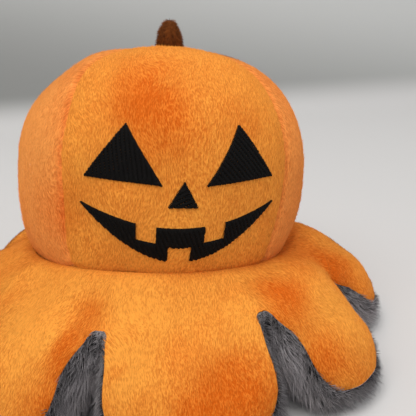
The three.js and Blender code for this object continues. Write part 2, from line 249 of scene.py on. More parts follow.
@dataclass
class Surface:
    """A grid of points on cloth, with the way out of the cloth and the way that its pile lies.

    Columns run to the right and rows upwards for someone who looks at the outer side. The pile lies towards
    earlier rows where nap_way is -1 and towards later ones where it is 1, on lines that wander by swirl.
    """

    points: Array
    around: bool = False
    nap_way: float = -1.0
    swirl: float = 2.0
    swirl_size: float = 30.0
    drift: float = 4.0  # slow change of the lie's third part
    drift_size: float = 60.0
    normals: Array = field(init=False)
    nap: Array = field(init=False)
    lie: Array = field(init=False)

    def __post_init__(self) -> None:
        """Takes the normal from the cross product of the steps along a row and along a column.

        The way across is the length along a row from its middle, plus ripples. The nap is the direction in
        the cloth in which that doesn't change.
        """
        if self.around:
            wrapped = np.concatenate([self.points[:, -1:], self.points, self.points[:, :1]], 1)
            across = np.gradient(wrapped, axis=1)[:, 1:-1]
        else:
            across = np.gradient(self.points, axis=1)
        along = np.gradient(self.points, axis=0)
        self.normals = unit(np.cross(across, along))
        u = np.cumsum(np.linalg.norm(across, axis=-1), axis=1)
        u = u - u[:, u.shape[1] // 2, None]
        u = u + self.swirl * ripples(self.points, self.swirl_size, Seed.NAP_SWIRL)
        v = np.cumsum(np.linalg.norm(along, axis=-1), axis=0)
        slow = self.drift * ripples(self.points, self.drift_size, Seed.NAP_DRIFT)
        self.lie = np.stack([u, v, slow], -1)
        by_row, by_column = np.gradient(u)
        self.nap = unit(self.nap_way * (along * by_column[..., None] - across * by_row[..., None]))

    def shell(self, thickness: float | Array) -> Faces:
        """A closed sheet of cloth: the points, the points moved inwards, and a wall along each edge.

        Args:
            thickness: Of the cloth, in millimetres, for all points or for each.

        Returns:
            The sheet's faces.
        """
        rows, columns = self.points.shape[:2]
        depth = np.broadcast_to(np.asarray(thickness, float), (rows, columns))[..., None]
        inner = self.points - self.normals * depth
        outer_faces = grid_triangles(rows, columns, self.around)
        count = rows * columns
        place = np.arange(count).reshape(rows, columns)
        edges = [(place[0], False), (place[-1], True)]
        if not self.around:
            edges += [(place[:, 0], True), (place[:, -1], False)]
        walls = []
        for edge, turned in edges:
            a, b = (edge, np.roll(edge, -1)) if self.around else (edge[:-1], edge[1:])
            near, far = np.stack([b, a, a + count], -1), np.stack([b, a + count, b + count], -1)
            quads = np.concatenate([near, far])
            walls.append(quads[:, ::-1] if turned else quads)
        faces = np.concatenate([outer_faces, outer_faces[:, ::-1] + count, *walls])
        corners = np.concatenate([self.points.reshape(-1, 3), inner.reshape(-1, 3)])
        out, lie = self.normals.reshape(-1, 3), self.lie.reshape(-1, 3)
        return Faces(corners, faces, np.concatenate([out, -out]), lie=np.concatenate([lie, lie]))

    def scatter(self, density: float, rng: np.random.Generator) -> tuple[Array, Array, Array, Array, Array]:
        """Random places, as many to each square millimetre everywhere.

        Args:
            density: Places to a square millimetre.
            rng: Source of the draws.

        Returns:
            The places, the normals, naps and lies there, and the (row, column) of each.
        """
        p = np.concatenate([self.points, self.points[:, :1]], 1) if self.around else self.points
        side, rise = p[:-1, 1:] - p[:-1, :-1], p[1:, :-1] - p[:-1, :-1]
        areas = np.linalg.norm(np.cross(side, rise), axis=-1)
        count = int(round(areas.sum() * density))
        cell = rng.choice(areas.size, count, p=areas.ravel() / areas.sum())
        row, column = np.divmod(cell, areas.shape[1])
        u, v = rng.random(count)[:, None], rng.random(count)[:, None]
        following = (column + 1) % self.points.shape[1]

        def between(values: Array) -> Array:
            """Weighs the values at the four corners of each place's cell.

            Args:
                values: One for each point of the grid.

            Returns:
                One for each place.
            """
            low = values[row, column] * (1 - u) + values[row, following] * u
            high = values[row + 1, column] * (1 - u) + values[row + 1, following] * u
            return low * (1 - v) + high * v

        place = np.stack([row + v[:, 0], column + u[:, 0]], -1)
        normal, nap = unit(between(self.normals)), unit(between(self.nap))
        return between(self.points), normal, nap, between(self.lie), place


def strands(
    spines: Array, side: Array, up: Array, radii: Array, sides: int, pointed: bool
) -> tuple[Array, Indices, Array]:
    """Many thin tubes at once: a ring of corners round each point of each spine, with closed ends.

    Args:
        spines: Points of each strand's middle line, (strands, steps, 3).
        side: Direction of each ring's first axis, (strands, steps, 3).
        up: Direction of its second axis, so that side, up and the strand's run are right-handed.
        radii: Half thickness at each step, along side and along up, (strands, steps, 2).
        sides: Corners of a ring.
        pointed: Ends each strand in one corner, not in a flat face.

    Returns:
        The corners (strands, corners, 3), the triangles of all strands, and the way out at each corner.
    """
    count, steps = spines.shape[:2]
    rings = steps - 1 if pointed else steps
    first_corner = 0.25  # of a turn, so that it lies on the ring's second axis
    angle = (np.arange(sides) / sides + first_corner) * 2 * math.pi
    turn = np.stack([np.cos(angle), np.sin(angle)], -1)
    offsets = (
        turn[None, None, :, :1] * radii[:, :rings, None, :1] * side[:, :rings, None, :]
        + turn[None, None, :, 1:] * radii[:, :rings, None, 1:] * up[:, :rings, None, :]
    )
    corners = (spines[:, :rings, None, :] + offsets).reshape(count, rings * sides, 3)
    outward = unit(offsets).reshape(count, rings * sides, 3)
    faces = [grid_triangles(rings, sides, around=True)] if rings > 1 else []
    fan = np.array([[0, i + 1, i] for i in range(1, sides - 1)])
    faces.append(fan)
    last = (rings - 1) * sides
    if pointed:
        corners = np.concatenate([corners, spines[:, -1:]], 1)
        outward = np.concatenate([outward, up[:, -1:]], 1)
        i = np.arange(sides)
        faces.append(np.stack([last + i, last + (i + 1) % sides, np.full(sides, rings * sides)], -1))
    else:
        faces.append(fan[:, ::-1] + last)
    one = np.concatenate(faces)
    triangles = one[None] + np.arange(count)[:, None, None] * corners.shape[1]
    return corners, triangles.reshape(-1, 3), outward


@dataclass(frozen=True)
class Pile:
    """Fibres that stand on a cloth, in millimetres."""

    density: float  # fibres to a square millimetre
    length: float
    width: float
    lean: float  # degrees from upright, along the nap
    curl: float = 0.0  # radians that the tip bends on along the nap
    droop: float = 0.0  # drop of the tip under its weight, as a share of the length
    thinned: float = 0.0  # share of the fibres that is worn away where the cloth faces down
    worn: Pair = (0.5, 0.9)  # downward part of the normal where the wear begins and is full
    steps: int = 1
    sides: int = 3
    stray: float = 0.18  # how far a single fibre wanders, in radians
    lean_stray: float = 0.7  # how far its lean does, as a share of that
    lock_size: float = 7.0  # neighbouring fibres within this reach lean alike
    lock: float = 0.2  # how far a lock turns, in radians, and how far its lean changes, as a share
    lengths: Pair = (0.75, 1.2)  # least and most, as shares of the length
    shortest: float = 0.05  # share of the length under which a fibre is left out
    taper: float = 0.55  # loss of width over the length, as a share
    stub: float = 0.5  # share of the width that a fibre keeps as it gets shorter
    tip_rise: float = 0.25  # of a fibre that lies on the floor
    tip_rise_spread: float = 0.2
    tone: Pair = (-0.6, 0.5)  # at the root and at the tip: painted shade at the root, painted light at the tip
    spread: float = 0.3  # of the tone from fibre to fibre
    short_shade: float = 1.4  # loss of tone as a fibre gets shorter: painted shade where the pile is cut short, beside the stitching, at the neck crease, at the edge seams and in the notches
    roundness: float = 0.3  # share of its own roundness in how it takes light; the rest is the cloth's
    flatness: float = 0.6  # its thickness over its width
    sunk: float = 0.3  # how far its root lies in the cloth

    def spines(
        self,
        root: Array,
        normal: Array,
        nap: Array,
        share: Array,
        seed: int,
        rng: np.random.Generator,
        floor: float | None,
    ) -> tuple[Array, Array, Array]:
        """Middle lines: straight steps whose lean from the normal grows along the fibre, less the droop.

        Ripples turn and lean the fibres of a lock alike, and each fibre strays a little from them.

        Args:
            root: Foot of each fibre.
            normal: Out of the cloth there.
            nap: The way that the pile lies there.
            share: Of the full length.
            seed: Picks the locks.
            rng: Source of the draws.
            floor: Level that no fibre goes below.

        Returns:
            The points (fibres, steps + 1, 3), and the ways to the side and up at each.
        """
        nap = unit(nap - normal * (nap * normal).sum(-1, keepdims=True))
        turn = self.lock * ripples(root, self.lock_size, seed + 2)
        turn = (turn + rng.normal(0.0, self.stray, len(root)))[:, None]
        way = nap * np.cos(turn) + np.cross(normal, nap) * np.sin(turn)
        lean = math.radians(self.lean) * (1 + self.lock * ripples(root, self.lock_size, seed + 3))
        lean = (lean + rng.normal(0.0, self.lean_stray * self.stray, len(root)))[:, None]
        length = (self.length * share * rng.uniform(*self.lengths, len(root)))[:, None, None]
        q = (np.arange(self.steps + 1) / self.steps)[None, :, None]
        turned = lean[:, None] + self.curl * q
        step = way[:, None] * np.sin(turned) + normal[:, None] * np.cos(turned)
        spines = root[:, None] - self.sunk * normal[:, None] + step * q * length
        spines[..., 2] -= self.droop * (q**2 * length)[..., 0]
        if floor is not None:
            lowest = floor + self.tip_rise * q[..., 0] + self.tip_rise_spread * rng.random((len(root), 1))
            spines[..., 2] = np.maximum(spines[..., 2], lowest)
        side = unit(np.cross(normal, way))[:, None] * np.ones_like(q)
        return spines, side, unit(np.cross(unit(step), side))

    def grow(
        self,
        surface: Surface,
        seed: int,
        shorten: Callable[[Array, Array], Array] | None = None,
        floor: float | None = None,
    ) -> Faces:
        """Fibres all over a surface: a strand that leans along the nap and bends towards its tip.

        Args:
            surface: The cloth that they stand on.
            seed: Picks their places and differences.
            shorten: Gives each fibre's share of the full length, from its (row, column) and its place.
            floor: Level that no fibre goes below, in millimetres.

        Returns:
            The fibres' faces.
        """
        rng = np.random.default_rng(seed)
        root, normal, nap, lie, place = surface.scatter(self.density, rng)
        share = np.ones(len(root)) if shorten is None else shorten(place, root)
        lost = rng.random(len(root)) < self.thinned * smooth(-normal[:, 2], *self.worn)
        kept = (share > self.shortest) & ~lost
        root, normal, nap, lie, share = root[kept], normal[kept], nap[kept], lie[kept], share[kept]
        spines, side, up = self.spines(root, normal, nap, share, seed, rng, floor)
        q = (np.arange(self.steps + 1) / self.steps)[None, :, None]
        width = 0.5 * self.width * (1 - self.taper * q) * np.minimum(1.0, self.stub + share[:, None, None])
        radii = np.concatenate([width, width * self.flatness], -1)
        corners, triangles, outward = strands(spines, side, up, radii, self.sides, pointed=True)
        lit = unit(normal[:, None] * (1 - self.roundness) + outward * self.roundness)
        level = np.concatenate([np.repeat(q[0, :-1, 0], self.sides), [1.0]])
        # painted shade at the root and in short fibres, painted light at the tip, and a random tone for each
        # fibre
        tone = self.tone[0] + (self.tone[1] - self.tone[0]) * level[None]
        tone = tone + rng.normal(0, self.spread, (len(root), 1)) - self.short_shade * (1 - share[:, None])
        lie = np.repeat(lie, corners.shape[1], axis=0)
        return Faces(corners.reshape(-1, 3), triangles, lit.reshape(-1, 3), tone.ravel(), lie)


SHORT_NAP = Pile(
    density=1.2, length=2.0, width=0.28, lean=76, lock_size=5.0, lock=0.08, stray=0.14, tone=(0.0, 0.9),
    spread=0.4, flatness=0.25, roundness=0.1, sunk=0.1,
)


# Finishes


class Wire:
    """A shader socket that Python's operators add Math nodes to."""

    def __init__(self, graph: "Graph", socket: bpy.types.NodeSocket) -> None:
        """Keeps the socket and the graph that it belongs to."""
        self.graph = graph
        self.socket = socket

    def _math(self, operation: str, first: "Wire | float", second: "Wire | float") -> "Wire":
        """Adds one Math node."""
        return self.graph.node("ShaderNodeMath", {"operation": operation}, {0: first, 1: second})

    def __add__(self, other: "Wire | float") -> "Wire":
        """Adds."""
        return self._math("ADD", self, other)

    def __mul__(self, other: "Wire | float") -> "Wire":
        """Multiplies."""
        return self._math("MULTIPLY", self, other)

    def __rsub__(self, other: "Wire | float") -> "Wire":
        """Takes this from a number."""
        return self._math("SUBTRACT", other, self)

    __radd__ = __add__
    __rmul__ = __mul__


class Graph:
    """The nodes of one material."""

    def __init__(self, name: str) -> None:
        """Makes an empty material.

        Args:
            name: Its name.
        """
        self.material = bpy.data.materials.new(name)
        self.material.use_nodes = True
        self.tree = self.material.node_tree
        self.tree.nodes.clear()

    def node(
        self, kind: str, settings: dict[str, object], inputs: dict[str | int, object], output: str | int = 0
    ) -> Wire:
        """Adds a node.

        Args:
            kind: Its type.
            settings: Its own properties, which are set first.
            inputs: Values or wires for its sockets.
            output: The socket to give back.

        Returns:
            A wire from that socket.
        """
        made = self.tree.nodes.new(kind)
        for key, value in settings.items():
            setattr(made, key, value)
        for key, value in inputs.items():
            if isinstance(value, Wire):
                self.tree.links.new(value.socket, made.inputs[key])
            else:
                made.inputs[key].default_value = value
        return Wire(self, made.outputs[output])

    def place(self) -> Wire:
        """Object coordinates."""
        return self.node("ShaderNodeTexCoord", {}, {}, "Object")

    def along(self, axis: str) -> Wire:
        """One of the object coordinates, in metres."""
        return self.node("ShaderNodeSeparateXYZ", {}, {0: self.place()}, axis)

    def noise(self, size: float, detail: float) -> Wire:
        """Noise in the object's own space.

        Args:
            size: Of its lumps, in millimetres.
            detail: Octaves of finer lumps.

        Returns:
            The noise.
        """
        scale = 1.0 / (size * MILLIMETRE)
        inputs = {"Vector": self.place(), "Scale": scale, "Detail": detail, "Roughness": 0.55}
        return self.node("ShaderNodeTexNoise", {}, inputs)

    def steps(self, value: Wire, start: float, end: float) -> Wire:
        """Stretches start to end over 0 to 1, smoothly."""
        settings = {"interpolation_type": "SMOOTHSTEP"}
        return self.node("ShaderNodeMapRange", settings, {"Value": value, "From Min": start, "From Max": end})

    def mix(self, factor: Wire | float, first: object, second: object) -> Wire:
        """Mixes two colours."""
        settings = {"data_type": "RGBA"}
        return self.node("ShaderNodeMix", settings, {0: factor, 6: first, 7: second}, 2)

    def attribute(self, name: str, output: str = "Fac") -> Wire:
        """A number, or a vector, kept on the mesh."""
        return self.node("ShaderNodeAttribute", {"attribute_name": name}, {}, output)

    def streaks(self, across: float, along: float) -> Wire:
        """Noise drawn out along the lines of the pile.

        Args:
            across: Size of its lumps across the lines, in millimetres.
            along: Their size along the lines.

        Returns:
            The noise.
        """
        scales = (1.0 / across, 1.0 / along, 1.0)
        factors = {0: self.attribute("lie", "Vector"), 1: scales}
        lie = self.node("ShaderNodeVectorMath", {"operation": "MULTIPLY"}, factors)
        inputs = {"Vector": lie, "Scale": 1.0, "Detail": 2.0, "Roughness": 0.5}
        return self.node("ShaderNodeTexNoise", {}, inputs)

    def scaled(self, colour: Wire, amount: Wire) -> Wire:
        """A colour times a number."""
        return self.node("ShaderNodeVectorMath", {"operation": "SCALE"}, {0: colour, "Scale": amount})

    def bump(self, strength: float, distance: float, height: Wire) -> Wire:
        """A normal bent by a height, with its full rise in metres."""
        return self.node("ShaderNodeBump", {}, {"Strength": strength, "Distance": distance, "Height": height})

    def finish(self, inputs: dict[str | int, object]) -> bpy.types.Material:
        """Ends in a Principled shader.

        Args:
            inputs: Values or wires for its sockets.

        Returns:
            The material.
        """
        shader = self.node("ShaderNodeBsdfPrincipled", {}, inputs)
        output = self.tree.nodes.new("ShaderNodeOutputMaterial")
        self.tree.links.new(shader.socket, output.inputs["Surface"])
        return self.material


def linear(colour: Colour) -> tuple[float, float, float, float]:
    """A screen colour of 0 to 255 as the shader's linear colour."""
    channels = [((c / 255 + 0.055) / 1.055) ** 2.4 if c > 10 else c / 255 / 12.92 for c in colour]
    return (*channels, 1.0)


@dataclass(frozen=True)
class Brushed:
    """A place where the colour is painted deeper, for brushed pile and as painted shade; where depth is below
    0 it is painted paler, as painted light. Millimetres.
    """

    middle: Triple
    size: float
    depth: float
    wobble: float = 0.22  # how far its edge is out of round, as a share
    wobble_size: float = 16.0

    def at(self, points: Array) -> Array:
        """A bell curve of the distance from the middle, bent out of round by ripples.

        Args:
            points: Places in the part's frame.

        Returns:
            The depth at each.
        """
        away = np.linalg.norm(points - np.array(self.middle), axis=-1)
        away = away * (1 + self.wobble * ripples(points, self.wobble_size, Seed.BRUSHED_AND_PAINTED_LIGHT_EDGE))
        return self.depth * np.exp(-((away / self.size) ** 2))


# Places of brushed pile with painted shade, and of painted light where depth is below 0
BRUSHED_AND_PAINTED_LIGHT = (
    # Wide changes of painted shade and painted light in front
    Brushed((7, -63, 47), 34, -0.55),
    Brushed((-45, -53, 46), 25, -0.6),
    Brushed((-46, -8, 104), 22, -0.75),
    Brushed((-6, -58, 88), 44, 0.22),
    # Forehead
    Brushed((-5, -38.5, 113.5), 13, 0.75),
    Brushed((-3, -27, 122), 12, 0.45),
    Brushed((0, -45, 105.5), 10, 0.45),
    # Skirt, to the right
    Brushed((38, -58, 44), 11, 0.9),
    Brushed((69, -23, 35), 12, 1.0),
    Brushed((77, -23, 29), 12, 0.8),
    Brushed((37, -68, 38), 7, 0.6),
    Brushed((53, -77, 21), 8, 0.4),
    Brushed((61, -56, 34), 15, -0.5),
    Brushed((30, -70, 38), 6, 0.6),
    Brushed((50, -75, 24), 10, 0.7),
    # Skirt, in front and to the left
    Brushed((-49, -64, 36), 10, -0.4),
    Brushed((-31, -61, 45), 7, 0.7),
    Brushed((2, -93, 20), 13, 0.6),
    Brushed((-2, -82, 35), 10, 0.4),
    Brushed((-20, -82, 33), 9, -0.3),
    Brushed((18, -91, 22), 14, 0.65),
    Brushed((-35, -68, 39), 7, 0.6),
    Brushed((-41, -75, 29), 9, 0.9),
    Brushed((-48, -79, 20), 9, 0.8),
    # Left cheek
    Brushed((-40, -35, 72), 12, 0.4),
    # Behind
    Brushed((30, 52, 96), 16, 0.6),
    Brushed((-55, 20, 80), 14, 0.5),
    Brushed((60, 60, 38), 15, 0.6),
    Brushed((-70, 62, 36), 14, 0.6),
    Brushed((5, 88, 34), 14, 0.5),
)


@dataclass(frozen=True)
class PlushFinish:
    """Cloth with a pile: its colour deepens where the pile is brushed and where shade is painted, turns paler
    where light is painted, and carries painted shade between the locks of the pile.
    """

    name: str
    light: Colour
    dark: Colour
    patch_size: float
    contrast: float  # of the fibres' tone
    sheen: float
    patch_range: Pair = (0.42, 0.7)  # of the noise, from the light colour to the dark one
    patch_share: float = 0.35  # how deep a patch is, beside a place of brushed pile and painted shade
    deepening: float = 0.75  # share of the dark colour in a place of brushed pile and painted shade
    streak: Pair = (0.42, 1.5)  # across and along a lock of the pile, in millimetres
    lock_range: Pair = (0.3, 0.7)  # of the noise, from a gap to a full lock
    depth: float = 0.49  # share of the dark colour between the locks, as painted shade
    grain: float = 0.22  # how much darker a gap is than a lock, as painted shade
    grain_below: float = 0.6  # share of the grain that darkens the gaps as painted shade; the rest lightens the locks as painted light
    bump: float = 0.7
    relief: float = 0.0009  # of the locks, in metres
    roughness: float = 0.85
    sheen_roughness: float = 0.4
    specular: float = 0.12

    def build(self) -> bpy.types.Material:
        """Makes the material.

        Returns:
            The material.
        """
        graph = Graph(self.name)
        patches = graph.steps(graph.noise(self.patch_size, detail=2.0), *self.patch_range)
        locks = graph.streaks(*self.streak)
        # painted shade in the gaps between the locks of the pile, and painted light on the locks
        gap_shade = 1.0 - graph.steps(locks, *self.lock_range)
        # noise patches, plus brushed pile, painted shade and painted light
        brushed = (patches * self.patch_share + graph.attribute("brushed")) * self.deepening
        colour = graph.mix(brushed + gap_shade * self.depth, linear(self.light), linear(self.dark))
        tone = graph.attribute("tone") * self.contrast
        amount = tone + (1.0 - gap_shade) * self.grain + (1.0 - self.grain_below * self.grain)
        return graph.finish(
            {
                "Base Color": graph.scaled(colour, amount),
                "Roughness": self.roughness,
                "Sheen Weight": self.sheen,
                "Sheen Roughness": self.sheen_roughness,
                "Sheen Tint": linear(self.light),
                "Specular IOR Level": self.specular,
                "Normal": graph.bump(self.bump, self.relief, locks),
            }
        )


@dataclass(frozen=True)
class ThreadFinish:
    """Polyester thread: smooth and a little glossy, with fine flecks along it. Millimetres."""

    name: str
    colour: Colour
    fleck: Colour
    roughness: float
    gloss: float
    fleck_size: float = 0.5
    fleck_range: Pair = (0.5, 0.75)  # of the noise, from the thread to a fleck
    wear_size: float = 2.0
    wear: float = 0.2  # change of the roughness
    ply_size: float = 0.3
    ply_height: float = 0.1
    bump: float = 0.4

    def build(self) -> bpy.types.Material:
        """Makes the material.

        Returns:
            The material.
        """
        graph = Graph(self.name)
        flecks = graph.steps(graph.noise(self.fleck_size, detail=2.0), *self.fleck_range)
        wear = graph.noise(self.wear_size, detail=1.0) * self.wear
        plies = graph.noise(self.ply_size, detail=1.0)
        return graph.finish(
            {
                "Base Color": graph.mix(flecks, linear(self.colour), linear(self.fleck)),
                "Roughness": wear + (self.roughness - self.wear / 2),
                "Specular IOR Level": self.gloss,
                "Normal": graph.bump(self.bump, self.ply_height * MILLIMETRE, plies),
            }
        )


class Finish(Enum):
    """The toy's finishes."""

    ORANGE_PLUSH = PlushFinish(
        "orange_plush_cloth", (249, 161, 63), (220, 98, 12), patch_size=30.0, contrast=0.16, sheen=0.6
    )
    # a paler copy of the orange plush with more sheen, for the side gores: painted light on the head's sides
    SIDE_PLUSH = PlushFinish(
        "side_plush_cloth", (254, 160, 78), (227, 105, 31), patch_size=40.0, contrast=0.12, sheen=0.7
    )
    GREY_FUR = PlushFinish(
        "grey_fur_cloth", (195, 188, 189), (121, 117, 118), patch_size=18.0, contrast=0.6, sheen=0.3,
        patch_range=(0.35, 0.65),
    )
    BROWN_PLUSH = PlushFinish(
        "brown_plush_cloth", (122, 65, 22), (66, 34, 11), patch_size=5.0, contrast=0.45, sheen=0.1,
        patch_range=(0.4, 0.7),
    )
    BLACK_THREAD = ThreadFinish(
        "black_embroidery_thread", (12, 10, 9), (26, 24, 23), roughness=0.65, gloss=0.1
    )
    ORANGE_THREAD = ThreadFinish(
        "orange_sewing_thread", (150, 66, 16), (184, 96, 36), roughness=0.5, gloss=0.3
    )

    @property
    def material(self) -> bpy.types.Material:
        """The finish's material, made once."""
        return bpy.data.materials.get(self.value.name) or self.value.build()


def in_scene(name: str, data: bpy.types.ID) -> bpy.types.Object:
    """Makes an object and links it to the scene.

    Args:
        name: Its name.
        data: Its mesh, lamp or camera.

    Returns:
        The object, at the origin.
    """
    made = bpy.data.objects.new(name, data)
    bpy.context.scene.collection.objects.link(made)
    return made


def stand(made: bpy.types.Object, right: Array, up: Array, back: Array, place: Triple) -> None:
    """Turns and places a lamp or a camera.

    Args:
        made: The object.
        right: The way its first axis goes.
        up: The way its second axis goes.
        back: The way its third axis goes, away from what it faces.
        place: Where it stands, in metres.
    """
    matrix = np.eye(4)
    matrix[:3] = np.stack([right, up, back, place], -1)
    made.matrix_world = Matrix(matrix.tolist())


@dataclass(frozen=True)
class Piece:
    """What a finished mesh is: its name, finish, record slot and the solids that it stands for."""

    name: str
    finish: Finish
    slot: str
    replaces: tuple[str, ...] = ()
    fill: float | None = None

    def make(self, faces: Faces) -> bpy.types.Object:
        """Puts the faces into a mesh object, with its tone, its lie, and its brushed pile with painted shade
        and painted light.

        Brushed and painted places that overlap leave the product of what each leaves of the plain cloth.

        Args:
            faces: The shape, in millimetres.

        Returns:
            The object, at the origin.
        """
        mesh = bpy.data.meshes.new(self.name)
        count = len(faces.triangles)
        mesh.vertices.add(len(faces.corners))
        mesh.vertices.foreach_set("co", (faces.corners * MILLIMETRE).astype(np.float32).ravel())
        mesh.loops.add(count * 3)
        mesh.loops.foreach_set("vertex_index", faces.triangles.astype(np.int32).ravel())
        mesh.polygons.add(count)
        mesh.polygons.foreach_set("loop_start", np.arange(0, count * 3, 3, dtype=np.int32))
        mesh.update(calc_edges=True)
        mesh.shade_smooth()
        # brushed pile, painted shade and painted light at each corner
        brushed = 1 - np.prod([1 - place.at(faces.corners) for place in BRUSHED_AND_PAINTED_LIGHT], axis=0)
        for label, values in (("tone", faces.tone), ("brushed", brushed)):
            numbers = mesh.attributes.new(label, "FLOAT", "POINT")
            numbers.data.foreach_set("value", values.astype(np.float32))
        lie = mesh.attributes.new("lie", "FLOAT_VECTOR", "POINT")
        lie.data.foreach_set("vector", faces.lie.astype(np.float32).ravel())
        mesh.normals_split_custom_set_from_vertices(faces.normals.astype(np.float32))
        mesh.materials.append(self.finish.material)
        made = in_scene(self.name, mesh)
        if self.replaces:
            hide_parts(*self.replaces)
        LOG.info("%s: %d triangles", self.name, count)
        return made


# Sub-assemblies


class Gore(Enum):
    """The head's gores, with the quarter turns from the face round by the right."""

    FACE = 0
    RIGHT_SIDE = 1
    BACK = 2
    LEFT_SIDE = 3

    @property
    def label(self) -> str:
        """Name in the solids and the pieces."""
        return self.name.lower()

    @property
    def wide(self) -> bool:
        """True for the face and the back, which are cut wider than the sides."""
        return self in (Gore.FACE, Gore.BACK)


@dataclass
class Head:
    """The pumpkin's head: four gores of plush round the stuffing, drawn in at the neck.

    Millimetres and degrees. Heights count from the widest level.
    """

    radius: float = 61.0
    crown: float = 49.5  # up to where the profile closes
    depth: float = 46.6  # down to where the profile would close
    crease_drop: float = 38.1
    neck_drop: float = 42.0
    crease_height: float = 41.5  # over the floor
    lean_back: float = 11.7
    lean_side: float = 4.9
    sway: float = 0.047  # sideways shift for each millimetre up from the crease to the widest level
    crown_power: float = 0.88
    cheek_power: float = 0.28
    dimple_depth: float = 1.8
    dimple_radius: float = 14.0
    stem_hole: float = 3.4
    face_half_angle: float = 48.0
    face_spread: float = 12.0
    face_spread_from: float = 0.45
    face_tuck: float = 4.0
    cloth: float = 1.3
    groove_depth: float = 2.1
    groove_width: float = 1.5
    valley_depth: float = 1.1
    valley_width: float = 7.0
    neck_seam: float = 0.25  # share of the seam's depth at the neck
    seam_run: float = 30.0  # way up the seam to its full depth
    pucker_height: float = 0.36
    pucker_pitch: float = 5.6
    pucker_reach: float = 4.2
    pucker_drift: tuple[Pair, ...] = ((0.55, 11.0), (0.3, 4.7))  # in puckers, and its slowness
    pucker_strength: Pair = (0.55, 0.45)  # its mean and its change, as shares of the height
    pucker_change: float = 8.3  # slowness of that change
    pucker_phase: float = 1.0
    lump_height: float = 0.5
    lump_size: float = 34.0
    rows: int = 104
    wide_columns: int = 88
    narrow_columns: int = 66
    crowding: float = 0.92  # of the columns at the seams, as a share of a quarter turn
    pile: Pile = SHORT_NAP

    @property
    def matrix(self) -> Array:
        """Turns the head's own frame into the part's: up to the crease, leaned aside and back, up again.

        Returns:
            A matrix of four rows and columns.
        """
        lift, centre = np.eye(4), np.eye(4)
        lift[2, 3], centre[2, 3] = self.crease_height, self.crease_drop
        aside = np.array(Matrix.Rotation(math.radians(self.lean_side), 4, "Y"))
        back = np.array(Matrix.Rotation(-math.radians(self.lean_back), 4, "X"))
        return lift @ aside @ back @ centre

    @property
    def crease_radius(self) -> float:
        """Radius of the plain form at the neck crease."""
        return float(self.ring(np.array(-self.crease_drop)))

    def placed(self, points: Array) -> Array:
        """Points of the head's frame in the part's frame."""
        matrix = self.matrix
        return points @ matrix[:3, :3].T + matrix[:3, 3]

    def ring(self, height: Array) -> Array:
        """Radius at a height: a circle's profile raised to a power, fuller at the cheeks than at the crown.

        Args:
            height: Above the widest level.

        Returns:
            The radius of the plain form.
        """
        limit = np.where(height > 0, self.crown, self.depth)
        power = np.where(height > 0, self.crown_power, self.cheek_power)
        return self.radius * np.maximum(0.0, 1 - (height / limit) ** 2) ** (power / 2)

    def skin(self, height: Array, angle: Array, lift: Array | float = 0.0) -> Array:
        """Points of the cloth: the profile turned round the axis, moved out along the profile's normal.

        Args:
            height: Above the widest level.
            angle: Round from the middle of the face, in radians.
            lift: Out of the cloth.

        Returns:
            Points in the head's frame.
        """
        ring = self.ring(height)
        dimple = np.where(height > 0, self.dimple_depth * np.exp(-((ring / self.dimple_radius) ** 2)), 0.0)
        limit = np.where(height > 0, self.crown, self.depth)
        out = unit(np.stack([ring / self.radius**2, height / limit**2], -1))
        points = round_axis(ring + lift * out[..., 0], angle, height - dimple + lift * out[..., 1])
        points[..., 0] += self.sway * (self.crease_drop + np.minimum(height, 0.0))
        return points

    def shares(self) -> tuple[Array, Array, Array]:
        """Rows from the neck seam to the stem's hole, as many to each degree of the profile's turn.

        Returns:
            Their share of the way up, their height and their arc length.
        """
        low = -math.asin(self.neck_drop / self.depth)
        high = math.acos((self.stem_hole / self.radius) ** (1 / self.crown_power))
        turn = np.linspace(low, high, self.rows)
        height = np.where(turn < 0, self.depth, self.crown) * np.sin(turn)
        step = np.hypot(np.diff(self.ring(height)), np.diff(height))
        share = (turn - low) / (math.pi / 2 - low)
        return share, height, np.concatenate([[0.0], np.cumsum(step)])

    def seam_angle(self, share: Array) -> Array:
        """Angle from the middle of the face to its seam, in radians."""
        opening = self.face_spread * smooth(share, self.face_spread_from, 1.0)
        return np.radians(self.face_half_angle + opening - self.face_tuck * (1 - share) ** 3)

    def relief(self, points: Array, edge: Array, arc: Array) -> Array:
        """How far the cloth stands off the plain form: a groove and a valley at the seam, and puckers.

        The groove and the valley are bell curves of the distance to the seam. The puckers are waves along
        the seam that fade away from it, with a drift in their pitch and a slow change of their strength.

        Args:
            points: Places on the plain form.
            edge: Distance to the nearest seam.
            arc: Way up along the seam.

        Returns:
            The height of the relief, in millimetres.
        """
        open_seam = self.neck_seam + (1 - self.neck_seam) * smooth(arc, 0.0, self.seam_run)
        groove = -self.groove_depth * open_seam * np.exp(-((edge / self.groove_width) ** 2))
        valley = -self.valley_depth * open_seam * np.exp(-((edge / self.valley_width) ** 2))
        place = arc / self.pucker_pitch
        for amount, slowness in self.pucker_drift:
            place = place + amount * np.sin(arc / slowness)
        mean, change = self.pucker_strength
        strength = mean + change * np.sin(arc / self.pucker_change + self.pucker_phase)
        waves = self.pucker_height * strength * np.sin(2 * math.pi * place)
        puckers = waves * np.exp(-edge / self.pucker_reach)
        return groove + valley + puckers + self.lump_height * ripples(points, self.lump_size, Seed.HEAD_LUMPS)

    def off_seam(self, height: Array, angle: Array) -> Array:
        """Distance from a place on the face gore to its nearer seam.

        Args:
            height: Above the widest level.
            angle: From the middle of the face, in radians.

        Returns:
            The distance along the ring, in millimetres.
        """
        share, rows, _ = self.shares()
        half = np.interp(height, rows, self.seam_angle(share))
        return np.maximum(0.0, self.ring(height) * (half - np.abs(angle)))

    def face_place(self, across: Array, up: Array, lift: Array | float) -> Array:
        """Points over the face gore's finished cloth, by the way across and up from the face's middle.

        Args:
            across: Along the widest level, in millimetres.
            up: Above that level.
            lift: Out of the cloth.

        Returns:
            Points in the part's frame.
        """
        angle = across / self.radius
        _, rows, arcs = self.shares()
        plain = self.placed(self.skin(up, angle))
        relief = self.relief(plain, self.off_seam(up, angle), np.interp(up, rows, arcs))
        return self.placed(self.skin(up, angle, relief + lift))

